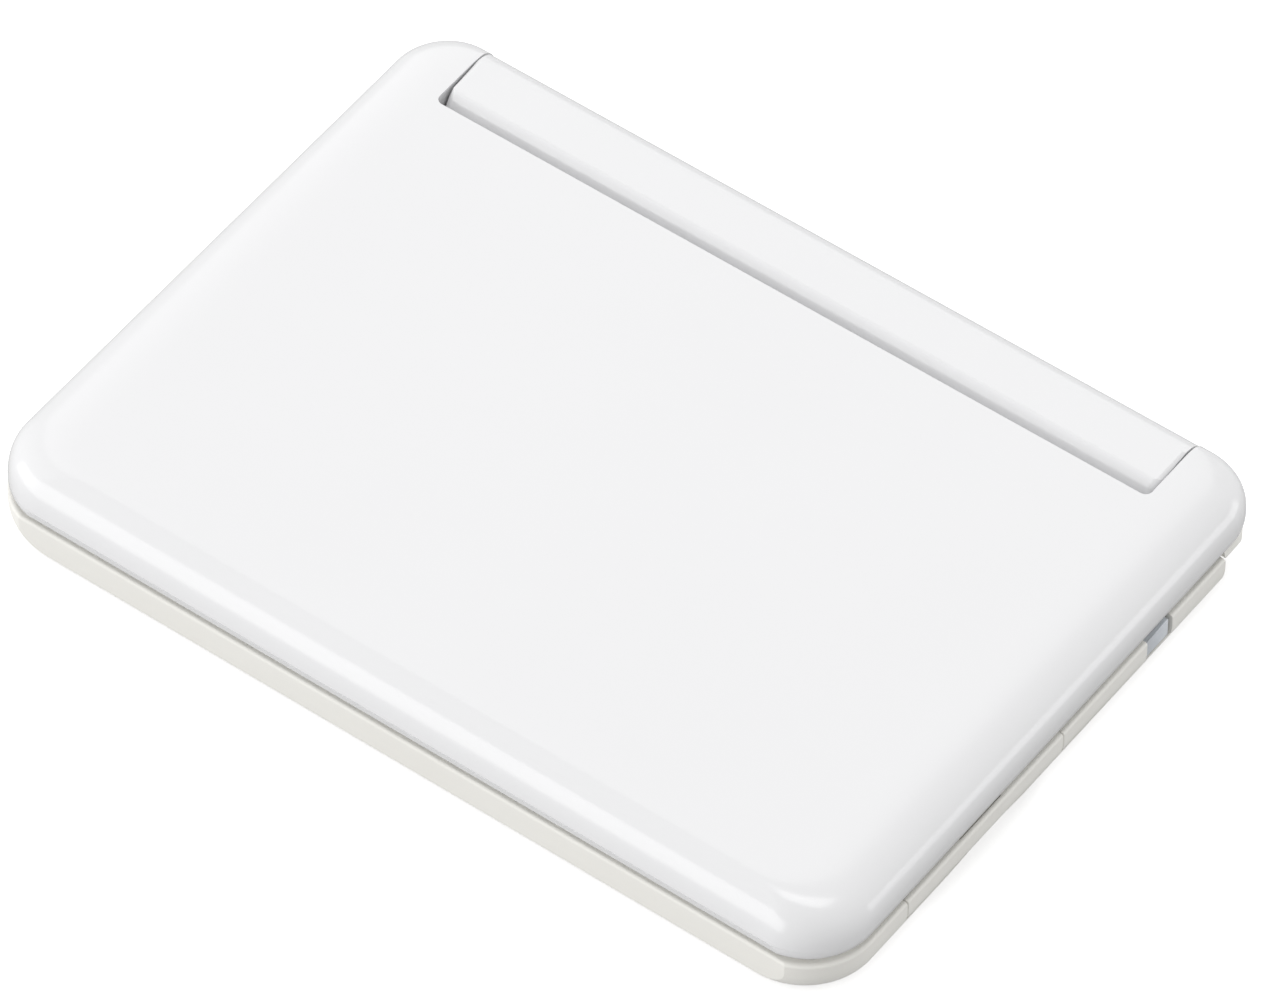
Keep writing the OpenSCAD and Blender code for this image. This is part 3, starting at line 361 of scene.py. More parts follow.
def cellJacket(name, cells, form):
    # Printed shrink sleeve on each cell: a copper band at the plus end, bare steel at both ends.
    material, tree, shader, place = newMaterial(name, {"Metallic": 0.7})
    shade = drift(tree, shader, place, "#4C5259", "#454B52", 0.3)
    for start, end in cells:
        sleeveEnd = end - form["plusCap"]
        shade = blend(tree, band(tree, place, 0, end - form["copperBand"], sleeveEnd), shade, "#A9752F")
        for low, high in ((start - form["lap"], start + form["minusCap"]), (sleeveEnd, end + form["lap"])):
            shade = blend(tree, band(tree, place, 0, low, high), shade, "#C4C5C9")
    tree.links.new(shade, shader.inputs["Base Color"])
    grainBump(tree, shader, place, 0.6, 0.002)
    return material


touchFilm = printedStrip("printed_polyester_film")
solderMask = circuitBoard("solder_masked_board")
cellLow, cellHigh = boxOf("battery_cells")
cellMiddle = (cellLow[0] + cellHigh[0]) / 2
sleeve = cellJacket("printed_cell_sleeve", [(cellLow[0], cellMiddle), (cellMiddle, cellHigh[0])], cellForm)


def wear(node, material):
    piece = cadNodes[node]
    piece.material_slots[0].material = material


def dress(piece, body, slot, materials, *replaced):
    chosen = np.zeros(len(piece.data.polygons), np.int32)
    piece.data.polygons.foreach_get("material_index", chosen)
    piece.data.materials.clear()
    for material in materials if isinstance(materials, tuple) else (materials,):
        piece.data.materials.append(material)
    piece.data.polygons.foreach_set("material_index", chosen)
    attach(piece, body)
    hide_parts(*replaced)
    return piece


lidForm = {
    "frontCut": 0.65,       # depth of the flat cut into the rounded front
    "frontRadius": 11, "rearRadius": 9.2,
    "sideRoll": 12, "sideDrop": 6, "sidePower": 3,
    "frontRoll": 6.2, "frontDrop": 10.65,
    "rearRoll": 4.3, "rearDrop": 5.2,
    "hem": 1.0, "hemHeight": 2.2, "hemStart": 1.6,      # how the sides curl in at the lower edge
    "facetTilt": 0.16, "groove": 0.13, "grooveHeight": 0.22,
    "wall": 1.5, "roof": 1.4,
    "levels": 56, "cornerSteps": 30,
    "notchDepth": 14.35, "notchRadius": 1.2, "notchLean": 0.5, "leanEnd": 3.7,
    "armRoomY": (41.55, 51.37), "armRoomZ": (8, 12.4),  # opening for each hinge arm in the notch's side
    "edge": 0.3, "rim": 0.2,
}
earWidth = halfWidth - spineHalf - 0.3
notchHalf = halfWidth - earWidth
notchY = halfDepth - lidForm["notchDepth"]


def roundedOutline(halfX, front, back, frontRadius, backRadius, steps, plane=None):
    # Rounded rectangle seen from above, one outline for each height. Where a flat plane cuts the
    # front off, each front arc starts at the crossing: sine of its angle = (plane - front) / radius - 1.
    sizes = [np.atleast_1d(np.asarray(value, float))
             for value in (halfX, front, back, frontRadius, backRadius)]
    halfX, front, back, frontRadius, backRadius = np.broadcast_arrays(*sizes)
    sink = 0 if plane is None else np.clip((plane - front) / frontRadius, 0, 1)
    begin = np.broadcast_to(np.arcsin(sink - 1), halfX.shape)[:, None]
    share = np.linspace(0, 1, steps + 1)
    frontTurn, backTurn = begin * (1 - share), share * np.pi / 2 + 0 * begin
    half, fr, br = halfX[:, None], frontRadius[:, None], backRadius[:, None]
    rightX = np.concatenate([half - fr + fr * np.cos(frontTurn), half - br + br * np.cos(backTurn)], 1)
    y = np.concatenate([front[:, None] + fr + fr * np.sin(frontTurn),
                        back[:, None] - br + br * np.sin(backTurn)], 1)
    return np.stack([np.concatenate([rightX, -rightX[:, ::-1]], 1), np.concatenate([y, y[:, ::-1]], 1)], -1)


def rollIn(z, width, start, top, power):
    # Superellipse: how far the wall has come in at height z, between start and top.
    rise = np.clip((z - start) / (top - start), 0, 1)
    return width * (1 - (1 - rise ** power) ** (1 / power))


def hemIn(z, form):
    # Quarter ellipse that curls the sides in towards the lower edge.
    depth = np.clip((lidEdgeZ + form["hemStart"] - z) / form["hemHeight"], 0, 1)
    return form["hem"] * (1 - np.sqrt(1 - depth ** 2))


def facetTop(form):
    # Height at which the rounded front comes back to the flat plane.
    z = np.linspace(lidEdgeZ + 0.9, lidEdgeZ + 2, 600)
    reach = rollIn(z, form["frontRoll"], topZ - form["frontDrop"], topZ, 2) + hemIn(z, form)
    return float(np.interp(form["frontCut"], reach, z))


def grooveLevels(form):
    # Heights where the groove begins, reaches its depth, leaves it and ends.
    return facetTop(form) - form["grooveHeight"] * np.array([1.0, 0.75, 0.3, 0.0])


def facetPlane(z, form):
    # The flat front leans in downwards; a narrow groove runs along its top.
    deep = form["groove"]
    return -halfDepth + np.interp(z, [lidEdgeZ, *grooveLevels(form)], [form["facetTilt"], 0, deep, deep, 0])


def lidRings(z, top, wall, form):
    # Sides, front and rear each roll in by their own superellipse. The inner skin is the same form,
    # inset by the wall, without the flat front and the curl at the lower edge.
    side = rollIn(z, form["sideRoll"], topZ - form["sideDrop"], top, form["sidePower"])
    front = rollIn(z, form["frontRoll"], topZ - form["frontDrop"], top, 2)
    rear = rollIn(z, form["rearRoll"], topZ - form["rearDrop"], top, 2)
    inset = wall if wall else hemIn(z, form)
    plan = roundedOutline(halfWidth - inset - side, inset + front - halfDepth - form["frontCut"],
                          halfDepth - inset - rear, form["frontRadius"] - inset - 0.7 * front,
                          form["rearRadius"] - inset - 0.9 * rear, form["cornerSteps"],
                          None if wall else facetPlane(z, form))
    return np.concatenate([plan, np.broadcast_to(z[:, None, None], (*plan.shape[:2], 1))], 2)


def lidSolid(name, bottom, top, wall, form):
    # Levels crowd together round the groove and towards the top, where the roll is flattest.
    z = bottom + (top - bottom) * np.sin(np.linspace(0, np.pi / 2, form["levels"]))
    if not wall:
        steps = grooveLevels(form)
        shoulder = steps[-1] + np.array([0.02, 0.06, 0.14, 0.26, 0.42])
        z = np.concatenate([np.linspace(bottom, steps[0], 9)[:-1], steps, shoulder, z[z > steps[-1] + 0.5]])
    return ringStack(name, lidRings(z, top, wall, form))


def notchSolid(name, grow, form):
    # Notch with two round corners; its front wall leans back above the hinge axis, then stands upright.
    half, y = notchHalf + grow, notchY - grow
    r = max(form["notchRadius"] - grow, 0.2)
    rings = []
    for z, lean in ((lidEdgeZ - 2, 1), (hingeZ, 1), (topZ - form["leanEnd"], 0), (2 * topZ, 0)):
        front = y - lean * form["notchLean"]
        turn = np.linspace(0, np.pi / 2, 13)
        left = np.column_stack([-half + r - r * np.cos(turn), front + r - r * np.sin(turn)])
        right = np.column_stack([half - r + r * np.sin(turn), front + r - r * np.cos(turn)])
        plan = np.vstack([left, right, [[half, 2 * halfDepth], [-half, 2 * halfDepth]]])
        rings.append(np.column_stack([plan, np.full(len(plan), z)]))
    return ringStack(name, rings)


def lidShell(form):
    shell = lidSolid("lidShell", lidEdgeZ, topZ, 0, form)
    cavity = lidSolid("cavity", lidEdgeZ - 0.5, topZ - form["roof"], form["wall"], form)
    carve(cavity, [notchSolid("notchWall", form["wall"], form)])
    (frontY, backY), (lowZ, highZ) = form["armRoomY"], form["armRoomZ"]
    arms = []
    for side in (-1, 1):
        near, far = sorted((side * (notchHalf - 0.2), side * (notchHalf + form["wall"] + 0.5)))
        arms.append(block(f"arm{side}", (near, frontY, lowZ), (far, backY, highZ)))
    carve(shell, [cavity, notchSolid("notch", 0, form), *arms])
    softenEdges(shell, form["rim"], 3, 40, lambda x, y, z: z < lidEdgeZ + 0.05)
    softenEdges(shell, form["edge"], 4, 40,
                lambda x, y, z: z > 12.6 and abs(x) < notchHalf + 1 and y > notchY - 1)
    return weighNormals(shell)


print("lid shell")
dress(lidShell(lidForm), "lid", "lid_gloss", glossAbs, "lid_shell")


spineForm = {
    "frontRadius": 8.75,    # about the hinge axis
    "ridge": 0.8, "backEdge": 4.2, "wall": 1.3,
    "bayFront": 39.95, "frontFoot": 5.9, "backFoot": 4.2,
    "cornerRadius": 1.2, "edge": 0.25,
}


def spineProfile(inset, form, drop=0):
    # Back face, round back edge, flat top, small ridge round, long curve about the hinge axis, front face.
    top, back = topZ - inset, spineBack - inset
    edge, radius = form["backEdge"] - inset, form["frontRadius"] - inset
    ridge = max(form["ridge"] - inset, 0.05)
    rise = top - ridge - hingeZ
    reach = math.sqrt((radius - ridge) ** 2 - rise ** 2)
    meet = math.atan2(rise, -reach)
    backTurn = np.linspace(0, np.pi / 2, 17)
    ridgeTurn = np.linspace(np.pi / 2, meet, 9)
    frontTurn = np.linspace(meet, np.pi, 33)[1:]
    return np.vstack([
        [[back, form["backFoot"] - drop]],
        np.column_stack([back - edge + edge * np.cos(backTurn), top - edge + edge * np.sin(backTurn)]),
        np.column_stack([hingeY - reach + ridge * np.cos(ridgeTurn),
                         top - ridge + ridge * np.sin(ridgeTurn)]),
        np.column_stack([hingeY + radius * np.cos(frontTurn), hingeZ + radius * np.sin(frontTurn)]),
        [[hingeY - radius, form["frontFoot"] - drop], [form["bayFront"], form["frontFoot"] - drop],
         [form["bayFront"], form["backFoot"] - drop]]])


def spineCover(form):
    corner, half = form["cornerRadius"], spineHalf
    bend = half - corner + corner * np.sin(np.linspace(0, np.pi / 2, 15))
    stations = np.concatenate([-bend[::-1], bend])
    tuck = corner - np.sqrt(np.maximum(corner ** 2 - np.maximum(abs(stations) - half + corner, 0) ** 2, 0))
    profile = spineProfile(0, form)
    # Each station's points are pulled in towards the hinge axis, so that both front corners are rounded.
    limit = (form["frontRadius"] - tuck)[:, None]
    dy, dz = profile[:, 0] - hingeY, profile[:, 1] - hingeZ
    above = np.maximum(dz, 0)
    pull = np.minimum(1, limit / np.maximum(np.hypot(dy, above), 1e-6))
    y = hingeY + dy * pull
    z = hingeZ + np.where(dz > 0, dz * pull, dz)
    x = np.broadcast_to(stations[:, None], y.shape)
    cover = ringStack("spineCover", np.stack([x, y, z], -1))
    inner = spineProfile(form["wall"], form, 3)
    ends = np.array([-1, 1]) * (half - form["wall"])
    hollow = ringStack("hollow", [np.column_stack([np.full(len(inner), end), inner]) for end in ends])
    carve(cover, [hollow])
    softenEdges(cover, form["edge"], 3, 40, lambda x, y, z: abs(x) > half - 0.1 and z > 4.3)
    return weighNormals(cover)


print("spine cover")
dress(spineCover(spineForm), "base", "lid_gloss", glossAbs, "spine_cover")


baseForm = {
    "frontCut": 0.65, "frontRadius": 11, "rearRadius": 9.2,
    "underHeight": 4.75, "sideUnder": 2.75, "frontUnder": 2.2, "rearUnder": 3,
    "topEdge": 0.55, "cornerSteps": 30, "floor": 1.2,
    "deckHalf": 68.2, "deckFront": -50.35, "deckZ": 5.9, "deckRadius": 8, "ledge": 1.2,
    "bayFront": 39.95, "bayBack": 51.0, "bayHalf": 61.0, "spineSeat": 4.2,
    "pocketRadius": 6.0, "pocketY": 41.65,
    "openings": {           # inner end, front and back, bottom and top of each one in the left side
        "ports": (1.35 - halfWidth, (-19, 12), (2.9, 6.6)),
        "usb": (-60, (-0.47, 7.47), (1.73, 5.87)),
        "card": (-60, (-16.62, -3.38), (2.73, 4.87)),
    },
    "jackY": 26.5, "jackZ": 3.8, "jackRadius": 2.32,
    "screws": ((64, -36), (64, 33), (58.6, 42.1)), "screwRadius": 1.8, "screwTop": 1.41,
    "feet": ((60, -43), (52.6, 45.475)), "footRadius": 3.37, "footTop": 0.91,
    "seatHalf": 63.3, "doorHalf": 46.75, "doorTop": 4.3, "edge": 0.12, "tailEdge": 0.5,
}
stylusForm = {
    "front": -34.0, "gripEnd": 2.5, "barrelStart": 2.6, "barrelEnd": 22.8, "recessEnd": 28.7,
    "inner": 69.6, "bottom": 3.6, "edge": 0.18,
    "frontGap": 0.2, "channelGap": 0.15, "gripEdge": 0.15, "endEdge": 0.7,
    "scoopY": -15.2, "scoopWidth": 20.5, "scoopHeight": 1.5,
    "nailX": (1.1, 0.7), "nailY": (-21.1, -11.3), "nailDepth": 0.8,     # nailX counts inwards from the side
    "nibEnd": 28.2, "nibStep": 2.6, "nibBlade": 1.2, "nibInset": 0.35, "nibEdge": 0.15,
}


def tuckUnder(z, width, form):
    # Quarter ellipse that turns each wall under the base.
    depth = np.clip((caseBottomZ + form["underHeight"] - z) / form["underHeight"], 0, 1)
    return width * (1 - np.sqrt(1 - depth ** 2))


def baseRings(form):
    # A quarter ellipse turns the walls under the base, and a quarter circle rounds their top edge.
    turn = np.linspace(0, np.pi / 2, 22)
    lower = caseBottomZ + form["underHeight"] * (1 - np.cos(turn))
    edgeTurn = np.linspace(0, np.pi / 2, 9)
    z = np.concatenate([lower, baseTopZ - form["topEdge"] * (1 - np.sin(edgeTurn))])
    inset = np.concatenate([np.zeros_like(lower), form["topEdge"] * (1 - np.cos(edgeTurn))])
    plan = roundedOutline(halfWidth - inset - tuckUnder(z, form["sideUnder"], form),
                          inset + tuckUnder(z, form["frontUnder"], form) - halfDepth - form["frontCut"],
                          spineBack - inset - tuckUnder(z, form["rearUnder"], form),
                          form["frontRadius"], form["rearRadius"], form["cornerSteps"], inset - halfDepth)
    return np.concatenate([plan, np.broadcast_to(z[:, None, None], (*plan.shape[:2], 1))], 2)


def deckSpace(name, grow, bottom, form):
    # Rounded rectangle open to the spine: the deck's seat, or the room below it inside the ledge.
    half, r = form["deckHalf"] + grow, form["deckRadius"] + grow
    back = spineFront if grow >= 0 else spineFront + 2 * grow
    plan = roundedOutline(half, form["deckFront"] - grow, back, r, 0.05, 16)[0]
    return ringStack(name, [np.column_stack([plan, np.full(len(plan), z)]) for z in (bottom, 30)])


def lowerCase(form, stylus):
    # Where a tool opens to the outside, it reaches well past the case.
    case = ringStack("lowerCase", baseRings(form))
    floorZ = caseBottomZ + form["floor"]
    radius = ((stylus["scoopWidth"] / 2) ** 2 + stylus["scoopHeight"] ** 2) / (2 * stylus["scoopHeight"])
    gap, seat, door = stylus["channelGap"], form["seatHalf"], form["doorHalf"]
    inner = stylus["inner"] - gap
    tools = [
        deckSpace("seat", 0.12, form["deckZ"], form),
        deckSpace("below", -form["ledge"], floorZ, form),
        block("bay", (-form["bayHalf"], form["bayFront"], floorZ), (form["bayHalf"], form["bayBack"], 30)),
        block("spineSeat", (-seat, form["bayFront"] - 0.01, form["spineSeat"]), (seat, 99, 30)),
        block("spineFoot", (-seat, spineFront - 0.12, form["deckZ"] + 0.001), (seat, 99, 30.1)),
        block("channel", (inner, stylus["front"] - stylus["frontGap"], stylus["bottom"] - gap),
              (99, stylus["recessEnd"], 30)),
        rod("scoop", (inner, stylus["scoopY"], stylus["bottom"] + gap - radius), (1, 0, 0), radius, 30, 240),
    ]
    for name, (innerX, (y0, y1), (z0, z1)) in form["openings"].items():
        tools.append(block(name, (-99, y0, z0), (innerX, y1, z1)))
    tools += [
        rod("jack", (-99, form["jackY"], form["jackZ"]), (1, 0, 0), form["jackRadius"], 40),
        block("door", (-door, form["bayFront"] - 0.15, -1), (door, 99, floorZ + 0.01)),
        block("doorBack", (-door, form["bayBack"] - 0.01, -1), (door, 99, form["doorTop"])),
    ]
    for side in (-1, 1):
        xs = sorted((side * spineHalf, side * 99))
        tools += [
            rod(f"pocket{side}", (xs[0], hingeY, hingeZ), (1, 0, 0),
                form["pocketRadius"], xs[1] - xs[0], 96),
            block(f"pocketBox{side}", (xs[0], form["pocketY"], -9), (xs[1], 98, hingeZ + 0.01)),
            block(f"behind{side}", (xs[0], hingeY, -8), (xs[1], 97, 31)),
        ]
        for x, y in form["screws"]:
            tools.append(rod(f"screw{side}{y}", (side * x, y, -1), (0, 0, 1),
                             form["screwRadius"], form["screwTop"] + 1, 32))
        for x, y in form["feet"]:
            tools.append(rod(f"foot{side}{y}", (side * x, y, -1), (0, 0, 1),
                             form["footRadius"], form["footTop"] + 1, 48))
    carve(case, tools)
    channelEnd, pocketY = stylus["recessEnd"], form["pocketY"]
    softenEdges(case, stylus["endEdge"], 5, 50,
                lambda x, y, z: x > halfWidth - 2.5 and abs(y - channelEnd) < 0.2)
    softenEdges(case, form["tailEdge"], 4, 50,
                lambda x, y, z: abs(x) > halfWidth - 4 and abs(y - pocketY) < 0.2)
    softenEdges(case, form["edge"], 2, 50, lambda x, y, z: (
        (x > stylus["inner"] and stylus["front"] - 1 < y < channelEnd - 1 and z > 3.2)
        or (x < -halfWidth + 3 and -20 < y < 30) or (abs(x) > 61 and y > 43.5 and z < 8)))
    return weighNormals(case)


print("lower case")
dress(lowerCase(baseForm, stylusForm), "base", "case_ivory", satinAbs, "lower_case")


def sideSection(bottom, top, inner, topEdge, form):
    # Section across the stylus: flat inside, the base's own side curve outside.
    z = np.linspace(bottom, top - topEdge, 14)
    turn = np.linspace(0, np.pi / 2, 9)[1:]
    outer = np.column_stack([halfWidth - tuckUnder(z, form["sideUnder"], form), z])
    edge = np.column_stack([halfWidth - topEdge * (1 - np.cos(turn)), top - topEdge * (1 - np.sin(turn))])
    return np.vstack([[[inner, top], [inner, bottom]], outer, edge])


def stylusStretch(name, start, end, rounded, form, base):
    section = sideSection(form["bottom"], baseTopZ, form["inner"], base["topEdge"], base)
    rings = [np.column_stack([section[:, 0], np.full(len(section), y), section[:, 1]]) for y in (start, end)]
    stretch = ringStack(name, rings)
    for width, steps, edgeY in ((rounded, 4, end), (form["edge"], 3, start)):
        softenEdges(stretch, width, steps, 50,
                    lambda x, y, z: abs(y - edgeY) < 0.01 and x > form["inner"] + 0.1)
    return stretch


def stylusNib(form):
    # Block the width of the stylus that steps down to a thin blade beside the open recess.
    low, top = form["bottom"], baseTopZ - 0.3
    face, root = halfWidth - form["nibInset"], form["inner"] + 0.6
    blade, stepY = face - form["nibBlade"], form["barrelEnd"] + form["nibStep"]
    plan = np.array([[root, form["barrelEnd"]], [face, form["barrelEnd"]], [face, form["nibEnd"]],
                     [blade, form["nibEnd"]], [blade, stepY], [root, stepY]])
    nib = ringStack("stylusNib", [np.column_stack([plan, np.full(len(plan), z)]) for z in (low, top)])
    softenEdges(nib, form["nibEdge"], 3, 30, lambda x, y, z: y > form["barrelEnd"] + 0.01)
    return weighNormals(nib)


print("stylus")
grip = stylusStretch("stylusGrip", stylusForm["front"], stylusForm["gripEnd"],
                     stylusForm["gripEdge"], stylusForm, baseForm)
slitX, slitY = halfWidth - np.array(stylusForm["nailX"]), stylusForm["nailY"]
carve(grip, [block("nail", (slitX[0], slitY[0], baseTopZ - stylusForm["nailDepth"]),
                   (slitX[1], slitY[1], baseTopZ + 1))])
dress(weighNormals(grip), "stylus", "case_ivory", satinAbs, "stylus_grip")
barrel = stylusStretch("stylusBarrel", stylusForm["barrelStart"], stylusForm["barrelEnd"],
                       stylusForm["endEdge"], stylusForm, baseForm)
dress(weighNormals(barrel), "stylus", "case_ivory", satinAbs, "stylus_barrel")
dress(stylusNib(stylusForm), "stylus", "clear_nib", clearPc, "stylus_nib")


def softCopy(node, width, steps=3, sharpest=40, where=None, border=None, faceUp=True):
    # The CAD solid's own shape with its edges rounded; a display's face is inset for its border.
    name = node.split("_")[0] + "".join(word.capitalize() for word in node.split("_")[1:])
    piece = linkPiece(name, cadNodes[node].data.copy())
    softenEdges(piece, width, steps, sharpest, where)
    if border:
        shape = bmesh.new()
        shape.from_mesh(piece.data)
        facing = [f for f in shape.faces if f.normal.z * (1 if faceUp else -1) > 0.99]
        extreme = max if faceUp else min
        level = extreme(f.calc_center_median().z for f in facing)
        face = max((f for f in facing if abs(f.calc_center_median().z - level) < 1e-5),
                   key=lambda f: f.calc_area())
        bmesh.ops.inset_region(shape, faces=[face], thickness=border * mm, use_even_offset=True)
        for other in shape.faces:
            other.material_index = 0
        face.material_index = 1
        shape.to_mesh(piece.data)
        shape.free()
    return weighNormals(piece)


def arrowShape(turn):
    # Block arrow, pointing up before it is turned.
    points = np.array([[-1, 0], [0, 1], [1, 0], [0.42, 0], [0.42, -1], [-0.42, -1], [-0.42, 0]])
    cos, sin = math.cos(turn), math.sin(turn)
    return [points @ np.array([[cos, sin], [-sin, cos]])]


def barShape(y, half, thick):
    return np.array([[-half, y - thick], [half, y - thick], [half, y + thick], [-half, y + thick]])


def ringShape(steps=20, gap=0.7, inner=0.72):
    # Ring left open at the top, as short straight pieces, with a bar in the opening.
    turn = np.linspace(np.pi / 2 + gap, 5 * np.pi / 2 - gap, steps)
    rim = np.column_stack([np.cos(turn), np.sin(turn)])
    pieces = [np.vstack([rim[i], rim[i + 1], rim[i + 1] * inner, rim[i] * inner]) for i in range(steps - 1)]
    return pieces + [np.array([[-0.14, 0.1], [0.14, 0.1], [0.14, 1.1], [-0.14, 1.1]])]


signs = {
    "key_shift": arrowShape(0), "key_delete": arrowShape(math.pi / 2),
    "key_menu": [barShape(y, 1, 0.16) for y in (-0.7, 0, 0.7)],
    "key_power": ringShape(), "key_back": [np.array([[-0.8, 0], [0.6, 0.85], [0.6, -0.85]])],
}
legendForm = {"letter": 3.0, "sign": 1.0, "letterDepth": 0.03, "signDepth": 0.05}


def extrudeInto(shape, plan, low, high):
    # Flat outline turned into a thin plate that belongs to the ink.
    rows = [[shape.verts.new((x * mm, y * mm, z * mm)) for x, y in plan] for z in (low, high)]
    count = len(plan)
    faces = [shape.faces.new(rows[0][::-1]), shape.faces.new(rows[1])]
    faces += [shape.faces.new((rows[0][i], rows[0][(i + 1) % count], rows[1][(i + 1) % count], rows[1][i]))
              for i in range(count)]
    for face in faces:
        face.material_index = 1
    bmesh.ops.recalc_face_normals(shape, faces=faces)


def letterMesh(letter, size, depth):
    curve = bpy.data.curves.new("letter", "FONT")
    curve.body, curve.size, curve.extrude, curve.resolution_u = letter, size * mm, depth * mm, 4
    curve.align_x, curve.align_y = "CENTER", "CENTER"
    holder = linkPiece("letter", curve)
    mesh = bpy.data.meshes.new_from_object(holder.evaluated_get(bpy.context.evaluated_depsgraph_get()))
    bpy.data.objects.remove(holder)
    return mesh


def printLegend(piece, node, form):
    # The ink's plates end level with the cap's top.
    low, high = boxOf(node)
    x, y, top = (low[0] + high[0]) / 2, (low[1] + high[1]) / 2, high[2]
    shape = bmesh.new()
    shape.from_mesh(piece.data)
    if node in signs:
        for plan in signs[node]:
            extrudeInto(shape, plan * form["sign"] + [x, y], top - form["signDepth"], top)
    else:
        half = form["letterDepth"] / 2
        letter = letterMesh(node[-1].upper(), form["letter"], half)
        letter.transform(Matrix.Translation((x * mm, y * mm, (top - half) * mm)))
        known = set(shape.faces)
        shape.from_mesh(letter)
        for face in shape.faces:
            if face not in known:
                face.material_index = 1
    shape.to_mesh(piece.data)
    shape.free()
    return piece


print("keys")
keyNodes = [name for name in cadNodes if name.startswith("key_") and name != "key_membrane"]
for node in keyNodes:
    cap = softCopy(node, 0.3, 4, 50, lambda x, y, z: z > baseTopZ)
    dress(printLegend(cap, node, legendForm), node, "key_white", (capAbs, legendInk), node)
ringLow, ringHigh = boxOf("cursor_ring")
ringX, ringY = (ringLow + ringHigh)[:2] / 2
cursor = softCopy("cursor_ring", 0.3, 4, 50, lambda x, y, z: z > baseTopZ - 0.3)
markForm = {"tip": 8.6, "foot": 7.4, "half": 0.9, "low": 0.3, "high": 0.02}  # low and high lie below the top
marks = bmesh.new()
marks.from_mesh(cursor.data)
for turn in np.arange(4) * math.pi / 2:
    out = np.array([math.cos(turn), math.sin(turn)])
    across = np.array([-out[1], out[0]])
    tip, foot, half = out * markForm["tip"], out * markForm["foot"], across * markForm["half"]
    plan = np.array([tip, foot + half, foot - half]) + [ringX, ringY]
    extrudeInto(marks, plan, ringHigh[2] - markForm["low"], ringHigh[2] - markForm["high"])
marks.to_mesh(cursor.data)
marks.free()
dress(cursor, "cursor_ring", "key_white", (capAbs, legendInk), "cursor_ring")
dress(softCopy("enter_key", 0.25, 4, 50, lambda x, y, z: z > baseTopZ - 0.3),
      "enter_key", "key_white", capAbs, "enter_key")

print("panels, covers and small parts")
softNodes = [
    # node, body, slot, materials, edge radius, border, face up
    ("keyboard_deck", "base", "case_ivory", satinAbs, 0.15, None, True),
    ("battery_cover", "battery_cover", "case_ivory", satinAbs, 0.15, None, True),
    ("port_cover", "port_cover", "case_ivory", satinAbs, 0.12, None, True),
    ("lid_frame", "lid", "frame_ivory", satinAbs, 0.15, None, True),
    ("screen_glass", "lid", "dark_glass", (borderGlass, lcdGlass), 0.1, 3.0, False),
    ("writing_pad", "base", "pad_glass", (borderGlass, padGlass), 0.1, 1.2, True),
    ("touch_strip", "base", "pad_glass", touchFilm, 0.08, None, True),
    ("rubber_feet", "base", "foot_rubber", footRubber, 0.2, None, True),
    ("lid_bumpers", "lid", "foot_rubber", footRubber, 0.15, None, True),
    ("case_screws", "base", "steel", zincPlate, 0.08, None, True),
    ("lid_screws", "lid", "steel", zincPlate, 0.08, None, True),
]
for node, body, slot, materials, width, border, faceUp in softNodes:
    dress(softCopy(node, width, border=border, faceUp=faceUp), body, slot, materials, node)
for node, material in (
        ("battery_cells", sleeve), ("battery_contacts", platedSheet), ("main_board", solderMask),
        ("key_membrane", siliconeSheet), ("speaker", blackAbs), ("headphone_jack", blackAbs),
        ("usb_socket", platedSheet), ("card_socket", platedSheet), ("hinge_shafts", turnedSteel),
        ("lcd_panel", rolledAluminium)):
    wear(node, material)


view = {  # angles in degrees, distance and lens in millimetres
    "azimuth": 37.3598, "elevation": 50.2129, "roll": -0.6837, "distance": 1561.1,
    "lens": 311.92, "shiftX": 0.0116, "shiftY": 0.0258,
}


def placeCamera(view):
    turn, lift, roll = (math.radians(view[key]) for key in ("azimuth", "elevation", "roll"))
    back = Vector((math.sin(turn) * math.cos(lift), -math.cos(turn) * math.cos(lift), math.sin(lift)))
    right = Vector((math.cos(turn), math.sin(turn), 0))
    up = back.cross(right)
    tilted = right * math.cos(roll) + up * math.sin(roll)
    upright = up * math.cos(roll) - right * math.sin(roll)
    data = bpy.data.cameras.new("camera")
    data.lens, data.shift_x, data.shift_y = view["lens"], view["shiftX"], view["shiftY"]
    data.clip_start, data.clip_end = 0.05, 20
    camera = bpy.data.objects.new("camera", data)
    camera.matrix_world = Matrix.Translation(back * view["distance"] * mm) @ Matrix(
        (tilted, upright, back)).transposed().to_4x4()
    bpy.context.scene.collection.objects.link(camera)
    bpy.context.scene.camera = camera


def softLamp(name, direction, distance, size, power):
    lamp = bpy.data.lights.new(name, "AREA")
    lamp.shape, lamp.energy = "RECTANGLE", power
    lamp.size, lamp.size_y = size[0] * mm, size[1] * mm
    holder = bpy.data.objects.new(name, lamp)
    aim = Vector(direction).normalized()
    holder.location = aim * distance * mm
    holder.rotation_euler = aim.to_track_quat("Z", "Y").to_euler()
    bpy.context.scene.collection.objects.link(holder)


def whiteFor(tree, rayKinds):
    # 1 for rays of the named kinds, 0 for all others
    path = addNode(tree, "ShaderNodeLightPath")
    total = path.outputs[rayKinds[0]]
    for kind in rayKinds[1:]:
        total = addNode(tree, "ShaderNodeMath", {"operation": "MAXIMUM"},
                        {0: total, 1: path.outputs[kind]}).outputs[0]
    return total


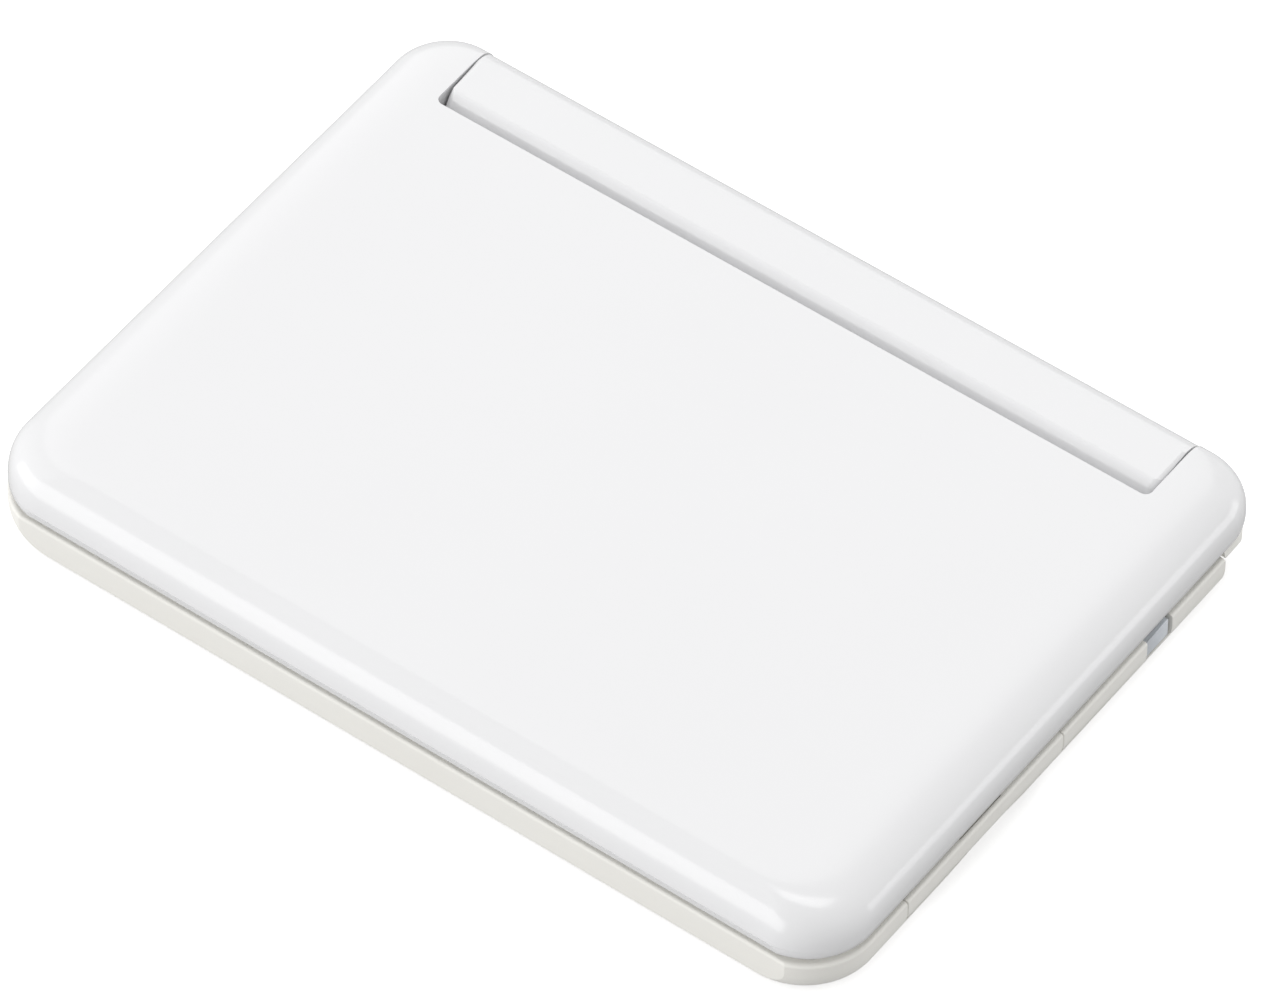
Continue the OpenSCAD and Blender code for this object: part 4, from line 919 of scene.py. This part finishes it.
def setWorld(level):
    world = bpy.data.worlds.new("studio")
    bpy.context.scene.world = world
    world.use_nodes = True
    tree = world.node_tree
    tree.nodes.clear()
    seen = whiteFor(tree, ("Is Camera Ray", "Is Glossy Ray", "Is Transmission Ray"))
    strength = addNode(tree, "ShaderNodeMapRange", {"To Min": level, "To Max": 1.0}, {"Value": seen})
    light = addNode(tree, "ShaderNodeBackground", {"Color": (1, 1, 1, 1)}, {"Strength": strength.outputs[0]})
    out = addNode(tree, "ShaderNodeOutputWorld")
    tree.links.new(light.outputs[0], out.inputs["Surface"])


def layFloor(form):
    # White paper to the camera and to reflections; darker to the light that it would throw back up.
    size = form["half"]
    floor = meshPiece("floor", [(-size, -size, 0), (size, -size, 0), (size, size, 0), (-size, size, 0)],
                      [(0, 1, 2, 3)])
    material, tree, shader, place = newMaterial("matt_paper", {"Roughness": 0.9})
    seen = whiteFor(tree, ("Is Camera Ray", "Is Glossy Ray", "Is Transmission Ray"))
    tree.links.new(blend(tree, seen, form["unseen"], form["seen"]), shader.inputs["Base Color"])
    mirrored = whiteFor(tree, ("Is Glossy Ray", "Is Transmission Ray"))
    reflected = addNode(tree, "ShaderNodeMath", {"operation": "MULTIPLY", 1: form["mirroredGlow"]},
                        {0: mirrored})
    glow = addNode(tree, "ShaderNodeMath", {"operation": "MULTIPLY_ADD", 1: form["glow"]},
                   {0: whiteFor(tree, ("Is Camera Ray",)), 2: reflected.outputs[0]})
    tree.links.new(glow.outputs[0], shader.inputs["Emission Strength"])
    shader.inputs["Emission Color"].default_value = (1, 1, 1, 1)
    grainBump(tree, shader, place, 2.0, 0.01)
    floor.data.materials.append(material)


worldLevel = 0.665      # strength of the white surroundings as diffuse light; seen or mirrored, it is 1
floorForm = {"half": 1500, "seen": "#E7E7E7", "unseen": "#ACACAC", "glow": 0.56, "mirroredGlow": 0.17}
lamps = [
    # name, direction from the object, distance and size in millimetres, power in watts
    ("frontSoftbox", (-0.62, -0.74, 0.24), 2400, (3400, 1300), 35.5),
    ("backSoftbox", (-0.47, 0.65, 0.60), 2400, (1900, 2120), 13.5),
    ("overheadSoftbox", (-0.04, 0.12, 0.99), 2400, (960, 640), 6.3),
    ("rightSoftbox", (0.70, 0.68, 0.20), 2400, (1400, 1120), 11.6),
]

print("studio")
placeCamera(view)
setWorld(worldLevel)
for lamp in lamps:
    softLamp(*lamp)
layFloor(floorForm)
bpy.context.scene.view_settings.view_transform = "Standard"
